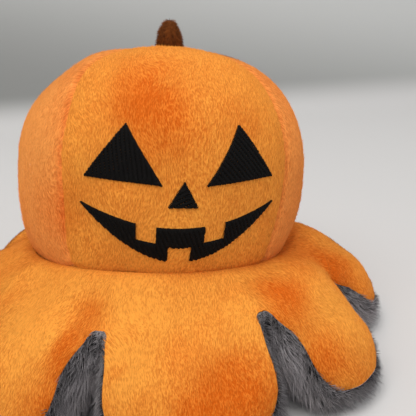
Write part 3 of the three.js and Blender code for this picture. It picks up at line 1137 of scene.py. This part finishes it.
    def gore(self, gore: Gore) -> tuple[Surface, Array, Array]:
        """The cloth of one gore: the plain form between its two seams, plus the relief.

        Args:
            gore: Which one.

        Returns:
            The surface, each point's height, and each point's angle from the middle of the gore.
        """
        share, height, arc = self.shares()
        seam = self.seam_angle(share)[:, None]
        half = seam if gore.wide else math.pi / 2 - seam
        columns = np.linspace(-1, 1, self.wide_columns if gore.wide else self.narrow_columns)
        reach = math.pi / 2 * self.crowding
        offset = (np.sin(columns * math.pi / 2 * self.crowding) / math.sin(reach))[None] * half
        heights = np.broadcast_to(height[:, None], offset.shape)
        arcs = np.broadcast_to(arc[:, None], offset.shape)
        angles = gore.value * math.pi / 2 + offset
        edge = self.ring(heights) * (half - np.abs(offset))
        relief = self.relief(self.placed(self.skin(heights, angles)), edge, arcs)
        return Surface(self.placed(self.skin(heights, angles, relief)), nap_way=1.0), heights, offset

    def build(self, artwork: "Artwork") -> None:
        """Makes the four gores.

        Args:
            artwork: The stitching, which the face's pile is kept clear of.
        """
        for gore in Gore:
            surface, heights, offset = self.gore(gore)

            def shorten(place: Array, _: Array) -> Array:
                """Leaves the stitched places bare and crops the pile at their edges.

                Args:
                    place: The (row, column) of each fibre.

                Returns:
                    Its share of the full length.
                """
                row, column = place.T
                low, left = row.astype(int), column.astype(int)
                up = heights[low, 0] * (low + 1 - row) + heights[low + 1, 0] * (row - low)
                angle = offset[low, left] * (left + 1 - column) + offset[low, left + 1] * (column - left)
                return artwork.clearance(np.stack([angle * self.radius, up], -1))

            seed = Seed.HEAD_PILE + gore.value
            fibres = self.pile.grow(surface, seed, shorten if gore is Gore.FACE else None)
            # the side gores are painted paler, as light on the head's sides
            finish = Finish.ORANGE_PLUSH if gore.wide else Finish.SIDE_PLUSH
            stuffing = ("head_filling",) if gore is Gore.BACK else ()
            solids = (f"{gore.label}_panel", *stuffing)
            piece = Piece(f"{gore.label}_gore", finish, "orange_plush", solids, fill=0.9)
            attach(piece.make(Faces.joined([surface.shell(self.cloth), fibres])), "head")


@dataclass
class Artwork:
    """A traditional cut-pumpkin face in thread: two triangle eyes, a triangle nose and a toothed grin.

    Millimetres, across and up from the middle of the face.
    """

    eye: tuple[Pair, ...] = ((8.0, -5.0), (37.0, -2.0), (22.0, 17.0))
    nose: tuple[Pair, ...] = ((-5.5, -12.5), (5.5, -12.5), (0.0, -3.5))
    mouth_half: float = 39.0
    mouth_corner: float = -11.5
    mouth_upper: float = -20.0
    mouth_lower: float = -32.5
    upper_tooth: Triple = (13.0, 8.0, 6.0)  # across, width, height
    lower_tooth: Triple = (0.0, 9.0, 5.5)
    tooth_side: float = 1e-4  # half of the way across in which a tooth's side rises
    edge_runs: int = 8
    lip_runs: int = 60
    bare: float = 0.3  # way out of the stitching that is free of pile
    cropped: float = 2.2  # way out to the first full fibres
    crop: float = 0.5  # share of the length beside the stitching
    row_pitch: float = 0.45
    stitch: float = 3.6
    least_stitch: float = 0.8
    stagger: int = 4  # rows until the stitches' ends line up again
    thread: float = 0.68
    thread_spread: Pair = (0.92, 1.08)
    thread_sides: int = 5
    flatness: float = 0.7
    lift: float = 0.55
    lift_spread: float = 0.12
    run: tuple[float, ...] = (0.0, 0.12, 0.5, 0.88, 1.0)  # places along a stitch
    rise: tuple[float, ...] = (-0.4, 0.75, 1.0, 0.75, -0.4)  # there, as a share of lift
    swell: tuple[float, ...] = (0.8, 1.0, 1.05, 1.0, 0.8)  # there, as a share of the thread
    grains: dict[str, float] = field(
        default_factory=lambda: {"left_eye": 72, "right_eye": 108, "nose": 0, "mouth": 90}
    )

    def curved(self, corners: Array) -> Array:
        """Outline through corners, with each edge cut into short runs.

        Args:
            corners: Across and up.

        Returns:
            The outline's points.
        """
        share = np.linspace(0, 1, self.edge_runs, endpoint=False)[None, :, None]
        return (corners[:, None] * (1 - share) + np.roll(corners, -1, 0)[:, None] * share).reshape(-1, 2)

    def lip(self, middle: float, teeth: list[Triple], inwards: float) -> Array:
        """One lip from left to right: a parabola up to the corners, stepped in at each tooth.

        Args:
            middle: Its height in the middle.
            teeth: The (across, width, height) of each tooth.
            inwards: 1 where the teeth step up, -1 where they step down.

        Returns:
            Its points.
        """
        cuts = sorted(t[0] + side * t[1] / 2 for t in teeth for side in (-1, 1))
        line = np.linspace(-self.mouth_half, self.mouth_half, self.lip_runs)
        before, after = [c - self.tooth_side for c in cuts], [c + self.tooth_side for c in cuts]
        across = np.sort(np.concatenate([line, before, after]))
        tooth = np.zeros_like(across)
        for place, width, height in teeth:
            tooth[np.abs(across - place) < width / 2] = height
        plain = middle + (self.mouth_corner - middle) * (across / self.mouth_half) ** 2
        return np.stack([across, plain + inwards * tooth], -1)

    def outlines(self) -> dict[str, Array]:
        """Outline of each stitched piece. The grin is the lower lip to the right, then the upper lip back.

        Returns:
            The points, under the piece's name.
        """
        eye = np.array(self.eye)
        a, w, h = self.upper_tooth
        low = self.lip(self.mouth_lower, [self.lower_tooth], 1.0)
        high = self.lip(self.mouth_upper, [(a, w, h), (-a, w, h)], -1.0)
        return {
            "left_eye": self.curved((eye * np.array([-1.0, 1.0]))[::-1]),
            "right_eye": self.curved(eye),
            "nose": self.curved(np.array(self.nose)),
            "mouth": np.concatenate([low, high[::-1][1:-1]]),
        }

    def clearance(self, places: Array) -> Array:
        """Share of the pile's length: none in the stitching, and from crop to 1 over the way out of it.

        Args:
            places: Across and up.

        Returns:
            The share at each place.
        """
        share = np.ones(len(places))
        for outline in self.outlines().values():
            low, high = outline.min(0) - self.cropped, outline.max(0) + self.cropped
            near = np.flatnonzero(((places > low) & (places < high)).all(-1))
            away = distance_to(outline, places[near])
            away[inside(outline, places[near])] = 0.0
            grown = self.crop + (1 - self.crop) * smooth(away, self.bare, self.cropped)
            share[near] = np.minimum(share[near], np.where(away < self.bare, 0.0, grown))
        return share

    def fill(self, outline: Array, grain: float) -> Array:
        """Ends of the stitches that fill an outline: even rows along the grain, cut into staggered stitches.

        Args:
            outline: Corners, across and up.
            grain: Direction of the stitches in degrees.

        Returns:
            The two ends of each stitch, (stitches, 2, 2).
        """
        a = math.radians(grain)
        turn = np.array([[math.cos(a), math.sin(a)], [-math.sin(a), math.cos(a)]])
        start = outline @ turn.T
        end = np.roll(start, -1, 0)
        found = []
        levels = np.arange(start[:, 1].min() + self.row_pitch / 2, start[:, 1].max(), self.row_pitch)
        for row, level in enumerate(levels):
            crosses = (start[:, 1] > level) != (end[:, 1] > level)
            s, e = start[crosses], end[crosses]
            meets = np.sort(s[:, 0] + (level - s[:, 1]) / (e[:, 1] - s[:, 1]) * (e[:, 0] - s[:, 0]))
            for left, right in zip(meets[::2], meets[1::2]):
                shift = (row % self.stagger) / self.stagger
                inner = np.arange(self.stitch * (math.floor(left / self.stitch) + shift), right, self.stitch)
                inner = inner[(inner > left + self.least_stitch) & (inner < right - self.least_stitch)]
                cuts = np.concatenate([[left], inner, [right]])
                knots = np.stack([cuts, np.full(len(cuts), level)], -1)
                found.append(np.stack([knots[:-1], knots[1:]], 1))
        return np.concatenate(found) @ turn

    def build(self, head: Head) -> None:
        """Lays the threads: each stitch rises out of the cloth, runs straight and goes back in.

        Args:
            head: The head that they lie on.
        """
        for number, (name, outline) in enumerate(self.outlines().items()):
            rng = np.random.default_rng(Seed.STITCHES + number)
            ends = self.fill(outline, self.grains[name])
            share = np.array(self.run)[None, :, None]
            places = ends[:, None, 0] * (1 - share) + ends[:, None, 1] * share
            height = np.array(self.rise)[None] * self.lift + rng.uniform(0, self.lift_spread, (len(ends), 1))
            spines = head.face_place(places[..., 0], places[..., 1], height)
            above = head.face_place(places[..., 0], places[..., 1], height + 1.0)  # for the way out
            run = unit(np.gradient(spines, axis=1))
            side = unit(np.cross(unit(above - spines), run))
            thick = np.array(self.swell)[None, :, None] * self.thread / 2
            radii = thick * np.array([1.0, self.flatness])
            radii = radii * rng.uniform(*self.thread_spread, (len(ends), 1, 1))
            up = np.cross(run, side)
            corners, triangles, outward = strands(spines, side, up, radii, self.thread_sides, pointed=False)
            piece = Piece(f"{name}_stitches", Finish.BLACK_THREAD, "black_thread", (name,))
            faces = Faces(corners.reshape(-1, 3), triangles, outward.reshape(-1, 3))
            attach(piece.make(faces), "head")


class Side(Enum):
    """The petals, with the eighth turns from the front round by the right."""

    FRONT = 0
    FRONT_RIGHT = 1
    RIGHT = 2
    BACK_RIGHT = 3
    BACK = 4
    BACK_LEFT = 5
    LEFT = 6
    FRONT_LEFT = 7

    @property
    def label(self) -> str:
        """Name in the solids and the pieces."""
        return self.name.lower()

    @property
    def turn(self) -> float:
        """Angle from the front, in radians."""
        return self.value * 2 * math.pi / len(Side)


@dataclass
class Skirt:
    """Skirt and petals in eight sectors: plush above and fur below, sewn together round each petal.

    Millimetres. A way along a petal runs from 0 at the flex line to 1 at the tip, and a way across from -1 at
    its left edge to 1 at its right one. A notch is where two petals part.
    """

    head: Head
    flex_radius: float = 70.0
    notch_seam: float = 30.0
    front_notch_seam: float = 42.2
    top_curve: tuple[Pair, ...] = ((0, 42.5), (12.5, 38.4), (29.3, 24), (30.3, 10))
    seam_curve: tuple[Pair, ...] = ((0, 0), (11, -6), (24.8, 18.5), (30.3, 10))
    belly_curve: tuple[Pair, ...] = ((0, 15), (4, -3.8), (25, -6.2), (30.3, 10))
    top_power: float = 2.0
    belly_power: float = 5.0
    tip_round: float = 0.2
    tip_round_power: int = 3
    tip_narrowing: float = 0.32
    tip_narrowing_power: int = 5
    notch_depth: float = 4.2
    notch_run: float = 0.14
    notch_fade: Pair = (0.3, 0.7)
    widened: float = 0.55  # way along at which a petal has its own width
    plump_half: float = 22.6
    front_half: float = 31.0
    pile_depth: float = 0.2
    crease_lip: float = 0.6
    crease_tuck: float = 3.0
    crease_inset: float = 0.9
    crease_rise: float = 0.5
    mouth_radius: float = 30.0
    fur_depth: float = 4.3
    cloth: float = 1.5
    backing: float = 1.0
    least_cloth: float = 0.06  # at the edge seam
    cloth_growth: float = 0.14  # for each millimetre away from that seam
    lowest_backing: float = 1.2
    fur_floor: float = 0.15
    lump_height: float = 0.6
    lump_size: float = 24.0
    lump_range: Pair = (57.0, 64.0)  # radius where the lumps begin and are full
    lump_rows: float = 6.0  # rows of a petal over which its edge seam comes to stop the lumps
    lump_edge_power: int = 10
    lump_tip_power: int = 12
    edge_fur: float = 0.45  # share of the fur's length at the edge seam
    edge_fur_run: float = 7.0
    notch_fur: float = 0.65  # share of it in a notch
    notch_fur_range: Pair = (3.0, 18.0)
    crease_nap: Pair = (0.5, 3.0)  # rows over which the nap gets its full length, from inside the crease
    bend_from: float = 70.5
    bend_to: float = 86.0
    skirt_rows: int = 26
    petal_rows: int = 40
    columns: int = 66
    plush: Pile = SHORT_NAP
    fur: Pile = Pile(
        density=2.9, length=7.8, width=0.38, lean=24, curl=0.4, droop=0.25, thinned=0.65, steps=2, stray=0.3,
        lock_size=4.0, lock=0.35, tone=(-1.2, 1.1), spread=0.42, roundness=0.45,
    )

    @property
    def half_pitch(self) -> float:
        """Half of a sector's angle, in radians."""
        return math.pi / len(Side)

    @property
    def root_half(self) -> float:
        """Half of a petal's width at the flex line, where it meets its neighbours."""
        return self.flex_radius * math.tan(self.half_pitch)

    @property
    def along(self) -> Array:
        """Rows of a petal along it, closer at both ends."""
        return (1 - np.cos(np.linspace(0, math.pi, self.petal_rows))) / 2

    @property
    def across(self) -> Array:
        """Columns across a petal, closer at the edges."""
        return np.sin(np.linspace(-1, 1, self.columns) * math.pi / 2)

    def fullness(self, across: Array, power: float) -> Array:
        """1 in the middle and 0 at the edge seam: the root of one less a power of the way across."""
        return np.sqrt(np.maximum(0.0, 1 - np.abs(across) ** power))

    def half_width(self, side: Side, along: Array) -> Array:
        """Half of a petal's width: a round notch at its root, its own width from there on, a narrow tip.

        Args:
            side: Which petal.
            along: Way along it.

        Returns:
            The half width there.
        """
        opened = np.minimum(along / self.notch_run, 1.0)
        notch = self.notch_depth * (np.sqrt(1 - (1 - opened) ** 2) - opened / 2)
        notch *= 1 - smooth(along, *self.notch_fade)
        full = self.front_half if side is Side.FRONT else self.plump_half
        width = self.root_half - notch + (full - self.root_half) * smooth(along, 0.0, self.widened)
        return width * (1 - self.tip_narrowing * along**self.tip_narrowing_power)

    def notches(self, side: Side) -> Pair:
        """Height of the edge seam at the notch before a petal and at the one after it.

        Args:
            side: Which petal.

        Returns:
            The two heights.
        """
        low, high = self.notch_seam, self.front_notch_seam
        return {
            Side.FRONT: (high, high),
            Side.FRONT_RIGHT: (high, low),
            Side.FRONT_LEFT: (low, high),
        }.get(side, (low, low))

    def seam(self, side: Side, along: Array, across: Array) -> Array:
        """The edge seam: its curve, with the first two corners raised by the notch's height.

        Args:
            side: Which petal.
            along: Way along it.
            across: Way across it.

        Returns:
            The seam's (out, up) from the flex line and the floor.
        """
        raised = (1 - along) ** 3 + 3 * along * (1 - along) ** 2
        before, after = self.notches(side)
        height = np.where(across < 0, before, after) * raised
        return bezier(self.seam_curve, along) + np.stack([np.zeros_like(height), height], -1)

    def turned(self, side: Side, out: Array | float, across: Array | float, up: Array | float) -> Array:
        """Points of a sector, turned round the toy's axis by the sector's angle.

        Args:
            side: Which sector.
            out: From the toy's axis.
            across: To the right of the sector's middle line.
            up: Above the floor.

        Returns:
            Points in the part's frame.
        """
        a = side.turn
        x = out * math.sin(a) + across * math.cos(a)
        y = -out * math.cos(a) + across * math.sin(a)
        return np.stack(np.broadcast_arrays(x, y, up), -1)

    def petal(self, side: Side, curve: tuple[Pair, ...], power: float, depth: float) -> Array:
        """A petal's upper or lower side: the edge seam plus the rise to its middle curve times fullness.

        Args:
            side: Which petal.
            curve: The middle of that side, out from the flex line and up.
            power: Squareness of the section.
            depth: How far inside that curve the cloth lies.

        Returns:
            A grid of points, from the flex line to the tip and from one edge to the other.
        """
        along = self.along[:, None] * np.ones(self.columns)
        across = self.across[None] * np.ones_like(along)
        seam = self.seam(side, along, across)
        rise = bezier(curve, along) - seam
        height = np.linalg.norm(rise, axis=-1, keepdims=True)
        rise = rise * (self.fullness(across, power)[..., None] * height / (height + depth + TINY))
        reach = 1 - self.tip_round * np.abs(across) ** self.tip_round_power
        out = self.flex_radius + (seam[..., 0] + rise[..., 0]) * reach
        return self.turned(side, out, across * self.half_width(side, along), seam[..., 1] + rise[..., 1])

    def angles(self, side: Side) -> Array:
        """Angles from the front to a sector's columns, as they lie on the flex line."""
        return side.turn + np.arctan(self.across * math.tan(self.half_pitch))

    def skirt_plan(self, side: Side, start: Array, level: float) -> tuple[Array, Array]:
        """The skirt's rows in a sector: straight lines from their start to the flex line.

        Args:
            side: Which sector.
            start: The first row's points.
            level: Height of the flex line.

        Returns:
            The grid of points, and the share of the way of each row, (rows, 1).
        """
        end = self.turned(side, self.flex_radius, self.across * self.root_half, level)
        share = np.linspace(0, 1, self.skirt_rows)[:, None]
        return start[None] * (1 - share[..., None]) + end[None] * share[..., None], share

    def notch(self, side: Side, way: int, height: float) -> Array:
        """The notch before a petal, way -1, or after it, way 1, at a height."""
        return self.turned(side, self.flex_radius, way * self.root_half, height)

    def fall(self, plan: Array, side: Side, level: float, power: float) -> Array:
        """Drop from a level towards the two notches, as far as each lies below it.

        The way across towards a notch is one less the distance to it over half a petal's width, and the drop
        follows the petal's own fullness there.

        Args:
            plan: Points of the skirt.
            side: Which sector.
            level: The height to drop from.
            power: Squareness of the section.

        Returns:
            The drop at each point.
        """
        dropped = np.zeros(plan.shape[:-1])
        for way, height in zip((-1, 1), self.notches(side)):
            away = np.linalg.norm(plan[..., :2] - self.notch(side, way, 0.0)[:2], axis=-1)
            share = np.clip(1 - away / self.root_half, 0.0, 1.0)
            dropped += (level - height) * (1 - self.fullness(share, power))
        return dropped

    def lumps(self, points: Array) -> tuple[Array, Array]:
        """Ripples in the plush, which end at the neck and at the edge seam.

        Args:
            points: The sector's grid.

        Returns:
            Their height at each point, and how free of the seam the point is, from 0 to 1.
        """
        row = np.arange(len(points), dtype=float)[:, None]
        along = np.concatenate([np.zeros(len(points) - self.petal_rows), self.along])[:, None]
        on_petal = smooth(row, self.skirt_rows, self.skirt_rows + self.lump_rows)
        free = 1 - on_petal * np.abs(self.across) ** self.lump_edge_power
        free = free * (1 - along**self.lump_tip_power)
        away = smooth(np.linalg.norm(points[..., :2], axis=-1), *self.lump_range)
        return self.lump_height * ripples(points, self.lump_size, Seed.SKIRT_LUMPS) * free * away, free

    def upper(self, side: Side) -> Surface:
        """The plush side of a sector, from inside the crease out to the tip's seam.

        Between the crease and the flex line, a height runs on a Hermite curve, less the petals' fall towards
        the notches.

        Args:
            side: Which sector.

        Returns:
            The surface.
        """
        lip = round_axis(self.head.crease_radius, self.angles(side), self.crease_lip - self.head.crease_drop)
        start = self.head.placed(lip)
        (x0, z0), (x1, z1) = self.top_curve[:2]
        plan, share = self.skirt_plan(side, start, z0)
        end = plan[-1]
        run = np.linalg.norm(end[:, :2] - start[:, :2], axis=-1)
        first = (end[:, 2] - start[:, 2]) + self.crease_rise * run
        plan[..., 2] = hermite(share, start[:, 2], first, end[:, 2], (z1 - z0) / (x1 - x0) * run)
        plan[..., 2] -= self.fall(plan, side, z0, self.top_power)
        tuck = start[None] - np.array([0, 0, self.crease_tuck])
        tuck = tuck - self.crease_inset * unit(start[None] * np.array([1, 1, 0]))
        petal = self.petal(side, self.top_curve, self.top_power, 0.0)
        points = np.concatenate([tuck, plan[:-1], petal])
        height, free = self.lumps(points)
        points[..., 2] += height
        plain = Surface(points[:, ::-1])
        return Surface(plain.points - plain.normals * (self.pile_depth * free[:, ::-1, None]))

    def lower(self, side: Side) -> Surface:
        """The fur side of a sector, from the pocket's mouth out to the tip's seam, inside the fur's depth.

        The skirt's rows keep the petal's middle level, less the fall, and the last of them meet the petal.

        Args:
            side: Which sector.

        Returns:
            The surface.
        """
        floor = self.belly_curve[0][1] + self.fur_depth
        plan, share = self.skirt_plan(side, round_axis(self.mouth_radius, self.angles(side), floor), floor)
        petal = self.petal(side, self.belly_curve, self.belly_power, self.fur_depth)
        level = petal[0, self.columns // 2, 2]
        plan[..., 2] = level - self.fall(plan, side, level, self.belly_power)
        plan[..., 2] += share**2 * (petal[0, :, 2] - plan[-1, :, 2])
        points = np.concatenate([plan[:-1], petal])
        points[..., 2] = np.maximum(points[..., 2], self.lowest_backing)
        return Surface(points, nap_way=1.0)

    def from_edge(self, side: Side, places: Array) -> Array:
        """Distance from each place to the nearest point of a petal's edge seam.

        Args:
            side: Which petal.
            places: In the part's frame.

        Returns:
            The distances.
        """
        petal = self.petal(side, self.top_curve, self.top_power, 0.0)
        edge = np.concatenate([petal[:, 0], petal[:, -1], petal[-1]])
        return np.linalg.norm(places[..., None, :] - edge, axis=-1).min(-1)

    def sheet(self, side: Side, surface: Surface, cloth: float) -> Faces:
        """A side's cloth, which runs out at the edge seam so that the two sides' cloths don't cross."""
        growth = self.cloth_growth * self.from_edge(side, surface.points)
        return surface.shell(np.minimum(cloth, self.least_cloth + growth))

    def fur_share(self, side: Side, places: Array) -> Array:
        """Share of the fur's length: short at the edge seam, and shorter in the two notches; the shorter
        fibres are also painted darker, as shade.

        Args:
            side: Which petal.
            places: In the part's frame.

        Returns:
            The share at each place.
        """
        from_seam = smooth(self.from_edge(side, places), 0.0, self.edge_fur_run)
        share = self.edge_fur + (1 - self.edge_fur) * from_seam
        for way, height in zip((-1, 1), self.notches(side)):
            away = np.linalg.norm(places - self.notch(side, way, height), axis=-1)
            share *= self.notch_fur + (1 - self.notch_fur) * smooth(away, *self.notch_fur_range)
        return share

    def build(self) -> None:
        """Makes a plush piece and a fur piece for each sector."""
        for side in Side:
            petal = f"petal_{side.label}"
            way = round_axis(1.0, np.array(side.turn), 0.0)
            solids = (f"petal_top_{side.label}", f"petal_filling_{side.label}")
            piece = Piece(f"{side.label}_petal_plush", Finish.ORANGE_PLUSH, "orange_plush", solids, fill=0.8)
            upper, lower = self.upper(side), self.lower(side)
            seed = Seed.SKIRT_PILE + side.value
            hair = self.plush.grow(upper, seed, lambda place, _: smooth(place[:, 0], *self.crease_nap))
            made = piece.make(Faces.joined([self.sheet(side, upper, self.cloth), hair]))
            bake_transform(made)
            solids = (f"petal_fur_{side.label}",)
            piece = Piece(f"{side.label}_petal_fur", Finish.GREY_FUR, "grey_fur", solids, fill=0.8)
            seed = Seed.SKIRT_FUR + side.value
            hair = self.fur.grow(lower, seed, lambda _, root: self.fur_share(side, root), self.fur_floor)
            made = piece.make(Faces.joined([self.sheet(side, lower, self.backing), hair]))
            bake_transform(made)


@dataclass
class NeckThread:
    """The thread that draws the neck in: two plies twisted together, round the crease. Millimetres."""

    head: Head
    radius: float = 0.25
    lobes: Pair = (0.8, 0.35)  # least thickness, and the lobes' rise, as shares of the radius
    sunk: float = 0.1
    twists: int = 120
    steps: int = 960
    sides: int = 10

    def build(self) -> None:
        """Carries a two-lobed section round the crease, turning as it goes."""
        around = np.linspace(0, 2 * math.pi, self.steps, endpoint=False)[None, :]
        section = np.linspace(0, 2 * math.pi, self.sides, endpoint=False)[:, None]
        ring = self.head.crease_radius - self.sunk
        lobe = np.abs(np.cos(section + self.twists * around / 2))
        thick = self.radius * (self.lobes[0] + self.lobes[1] * lobe)
        level = -self.head.crease_drop
        skin = round_axis(ring + thick * np.cos(section), around, level + thick * np.sin(section))
        points = self.head.placed(skin)
        out = points - self.head.placed(round_axis(ring, around, level))
        triangles = grid_triangles(self.sides + 1, self.steps, around=True) % (self.sides * self.steps)
        faces = Faces(points.reshape(-1, 3), triangles, unit(out).reshape(-1, 3))
        replaced = ("neck_thread", "skirt_top", "skirt_filling", "skirt_fur")
        piece = Piece("neck_gathering_thread", Finish.ORANGE_THREAD, "orange_thread", replaced)
        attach(piece.make(faces), "head")


@dataclass
class Pocket:
    """The second head, pushed up inside the first: a hollow lined with fur. Millimetres."""

    radius: float = 25.0
    top: float = 78.0
    dome: float = 20.0
    flare: float = 2.0
    flare_height: float = 6.0
    mouth_level: float = 15.0
    backing: float = 3.0
    cloth: float = 1.0
    closing: float = 0.97  # share of a quarter turn after which the dome ends, just off the axis
    rows: int = 60
    columns: int = 120
    fur: Pile = Pile(
        density=0.9, length=7.0, width=0.9, lean=48, curl=0.5, steps=2, lock=0.35, tone=(-0.8, 0.5),
        roundness=0.4,
    )

    def build(self) -> None:
        """Turns the pocket's profile, a flared tube and a flat dome, and lines it with downward fur."""
        wall = self.top - self.dome
        tube = np.linspace(self.mouth_level, wall, self.rows // 2, endpoint=False)
        arc = np.linspace(0, math.pi / 2 * self.closing, self.rows // 2)
        flare = self.flare * (1 - smooth(tube, self.mouth_level, self.mouth_level + self.flare_height))
        outer = self.radius + self.backing
        r = np.concatenate([outer + flare, outer * np.cos(arc)])[:, None]
        z = np.concatenate([tube, wall + (self.dome + self.backing) * np.sin(arc)])[:, None]
        around = -np.linspace(0, 2 * math.pi, self.columns, endpoint=False)[None]
        surface = Surface(round_axis(r, around, z), around=True)
        fibres = self.fur.grow(surface, Seed.POCKET_FUR)
        piece = Piece("pocket_fur_lining", Finish.GREY_FUR, "grey_fur", ("pocket_lining",))
        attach(piece.make(Faces.joined([surface.shell(self.cloth), fibres])), "head")


@dataclass
class Stem:
    """The brown stem: a stuffed thimble of plush on a ball-shaped foot in the crown. Millimetres."""

    head: Head
    radius: float = 5.7
    height: float = 12.6
    squareness: float = 2.5
    foot: float = 4.6
    closing: float = 0.97  # share of a quarter turn after which the tip ends, just off the axis
    cloth: float = 0.8
    rows: int = 50
    columns: int = 64
    aside: float = 2.3
    lump_height: float = 0.2
    lump_size: float = 7.0
    pile_depth: float = 0.4
    pile: Pile = Pile(
        density=6.0, length=1.6, width=0.32, lean=38, stray=0.35, lock_size=2.5, lock=0.4, tone=(-0.9, 0.8),
        roundness=0.5,
    )

    def build(self) -> None:
        """Turns the profile: a quarter ball below, and a blunt rise above whose radius falls by a power."""
        foot = np.linspace(-self.foot, 0, self.rows // 4, endpoint=False)
        rise = self.height * np.sin(np.linspace(0, math.pi / 2 * self.closing, self.rows))
        above = self.radius * np.sqrt(1 - (rise / self.height) ** self.squareness)
        r = np.concatenate([np.sqrt(self.radius**2 - foot**2), above])[:, None]
        z = np.concatenate([foot, rise])[:, None] + self.head.crown - self.head.dimple_depth
        around = np.linspace(0, 2 * math.pi, self.columns, endpoint=False)[None]
        points = round_axis(r, around, z)
        out = unit(points * np.array([1.0, 1.0, 0.0]))
        lumps = self.lump_height * ripples(points, self.lump_size, Seed.STEM_LUMPS)
        points = points + out * (lumps - self.pile_depth)[..., None]
        points[..., 0] += self.head.sway * self.head.crease_drop + self.aside
        surface = Surface(self.head.placed(points), around=True)
        fibres = self.pile.grow(surface, Seed.STEM_PILE)
        solids = ("stem_cover", "stem_filling")
        piece = Piece("stem_plush", Finish.BROWN_PLUSH, "brown_plush", solids, fill=0.8)
        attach(piece.make(Faces.joined([surface.shell(self.cloth), fibres])), "stem")


@dataclass(frozen=True)
class Lamp:
    """A square soft lamp that faces the toy. Metres and watts."""

    name: str
    place: Triple
    size: float
    power: float
    colour: Triple
    target: Triple = (0.0, 0.0, 0.06)

    def build(self) -> None:
        """Makes the lamp."""
        data = bpy.data.lights.new(self.name, "AREA")
        data.size, data.energy, data.color = self.size, self.power, self.colour
        back = unit(np.array(self.place) - np.array(self.target))
        right = unit(np.cross([0.0, 0.0, 1.0], back))
        stand(in_scene(self.name, data), right, np.cross(back, right), back, self.place)


@dataclass
class Studio:
    """A pale sweep, soft lamps and the camera. Metres."""

    eye: Triple = (-0.02893, -0.28976, 0.16226)
    forward: Triple = (0.1662, 0.928, -0.3334)
    roll: float = -1.71
    focal_pixels: float = 711.45
    frame_pixels: float = 416.0
    sensor: float = 36.0  # millimetres
    near_clip: float = 0.01
    sweep_width: float = 6.0
    sweep_front: float = -2.0
    sweep_back: float = 0.42
    sweep_bend: float = 0.3
    sweep_steps: int = 24
    wall_height: float = 2.0
    floor_colour: Colour = (209, 207, 205)
    # the wall's painted shade, from low down to high up
    wall_low: Colour = (138, 138, 135)
    wall_high: Colour = (198, 198, 195)
    wall_slant: float = 0.2  # rise of the wall's painted shades for each metre to the right
    wall_shade: Pair = (0.0, 0.2)  # heights between which the wall's painted shade grows paler
    floor_shade: Pair = (0.0, 0.022)  # heights between which the floor's colour ends
    lamps: tuple[Lamp, ...] = (
        Lamp("key_lamp", (-0.3, -0.4, 1.1), 0.9, 9.6, (1.0, 0.98, 0.95)),
        Lamp("fill_lamp", (0.8, -0.5, 0.6), 1.0, 2.8, (0.97, 0.98, 1.0)),
        Lamp("side_lamp", (-0.9, -0.35, 0.35), 0.8, 0.55, (1.0, 0.98, 0.95)),
        Lamp("back_lamp", (0.1, 0.3, 1.2), 0.8, 3.3, (1.0, 1.0, 1.0)),
    )
    air: tuple[float, float, float, float] = (0.9, 0.93, 1.0, 1.0)
    air_strength: float = 0.34

    def camera(self) -> None:
        """Puts the camera at the photograph's viewing angle."""
        data = bpy.data.cameras.new("camera")
        data.sensor_width = self.sensor
        data.lens = data.sensor_width * self.focal_pixels / self.frame_pixels
        data.clip_start = self.near_clip
        ahead = unit(np.array(self.forward))
        right = unit(np.cross(ahead, [0.0, 0.0, 1.0]))
        up = np.cross(right, ahead)
        a = math.radians(self.roll)
        right, up = math.cos(a) * right + math.sin(a) * up, math.cos(a) * up - math.sin(a) * right
        made = in_scene("camera", data)
        stand(made, right, up, -ahead, self.eye)
        bpy.context.scene.camera = made

    def sweep_material(self) -> bpy.types.Material:
        """A pale floor that turns into a grey wall with painted shade, darkest low down and paler upwards and
        to the right.

        Returns:
            The material.
        """
        graph = Graph("pale_sweep")
        height = graph.along("Z")
        # painted shade on the wall, paler upwards and to the right
        slanted = height + graph.along("X") * self.wall_slant
        paler = graph.steps(slanted, *self.wall_shade)
        wall = graph.mix(paler, linear(self.wall_low), linear(self.wall_high))
        colour = graph.mix(graph.steps(height, *self.floor_shade), linear(self.floor_colour), wall)
        return graph.finish({"Base Color": colour, "Roughness": 0.8, "Specular IOR Level": 0.2})

    def floor(self) -> None:
        """A floor that bends up into a wall: a line, a quarter circle and a line, drawn out sideways."""
        turn = np.linspace(0, math.pi / 2, self.sweep_steps)
        y = np.concatenate([[self.sweep_front], self.sweep_back + self.sweep_bend * np.sin(turn)])
        z = np.concatenate([[0.0], self.sweep_bend * (1 - np.cos(turn))])
        y, z = np.append(y, y[-1]), np.append(z, z[-1] + self.wall_height)
        x = np.array([-self.sweep_width, self.sweep_width]) / 2
        points = np.stack(np.broadcast_arrays(x[None, :], y[:, None], z[:, None]), -1)
        mesh = bpy.data.meshes.new("sweep")
        mesh.from_pydata(points.reshape(-1, 3).tolist(), [], grid_triangles(len(y), 2).tolist())
        mesh.shade_smooth()
        mesh.materials.append(self.sweep_material())
        in_scene("sweep", mesh)

    def build(self) -> None:
        """Makes the camera, the sweep, the lamps and the light of the air."""
        self.camera()
        self.floor()
        for lamp in self.lamps:
            lamp.build()
        world = bpy.data.worlds.new("studio_air")
        world.use_nodes = True
        background = world.node_tree.nodes["Background"]
        background.inputs["Color"].default_value = self.air
        background.inputs["Strength"].default_value = self.air_strength
        bpy.context.scene.world = world
        bpy.context.scene.view_settings.view_transform = "Standard"


def main() -> None:
    """Builds the studio and the toy's sub-assemblies in order."""
    logging.basicConfig(level=logging.INFO, format="%(name)s: %(message)s")
    Studio().build()
    head, artwork = Head(), Artwork()
    head.build(artwork)
    artwork.build(head)
    NeckThread(head).build()
    Skirt(head).build()
    Pocket().build()
    Stem(head).build()


if __name__ == "__main__":
    main()
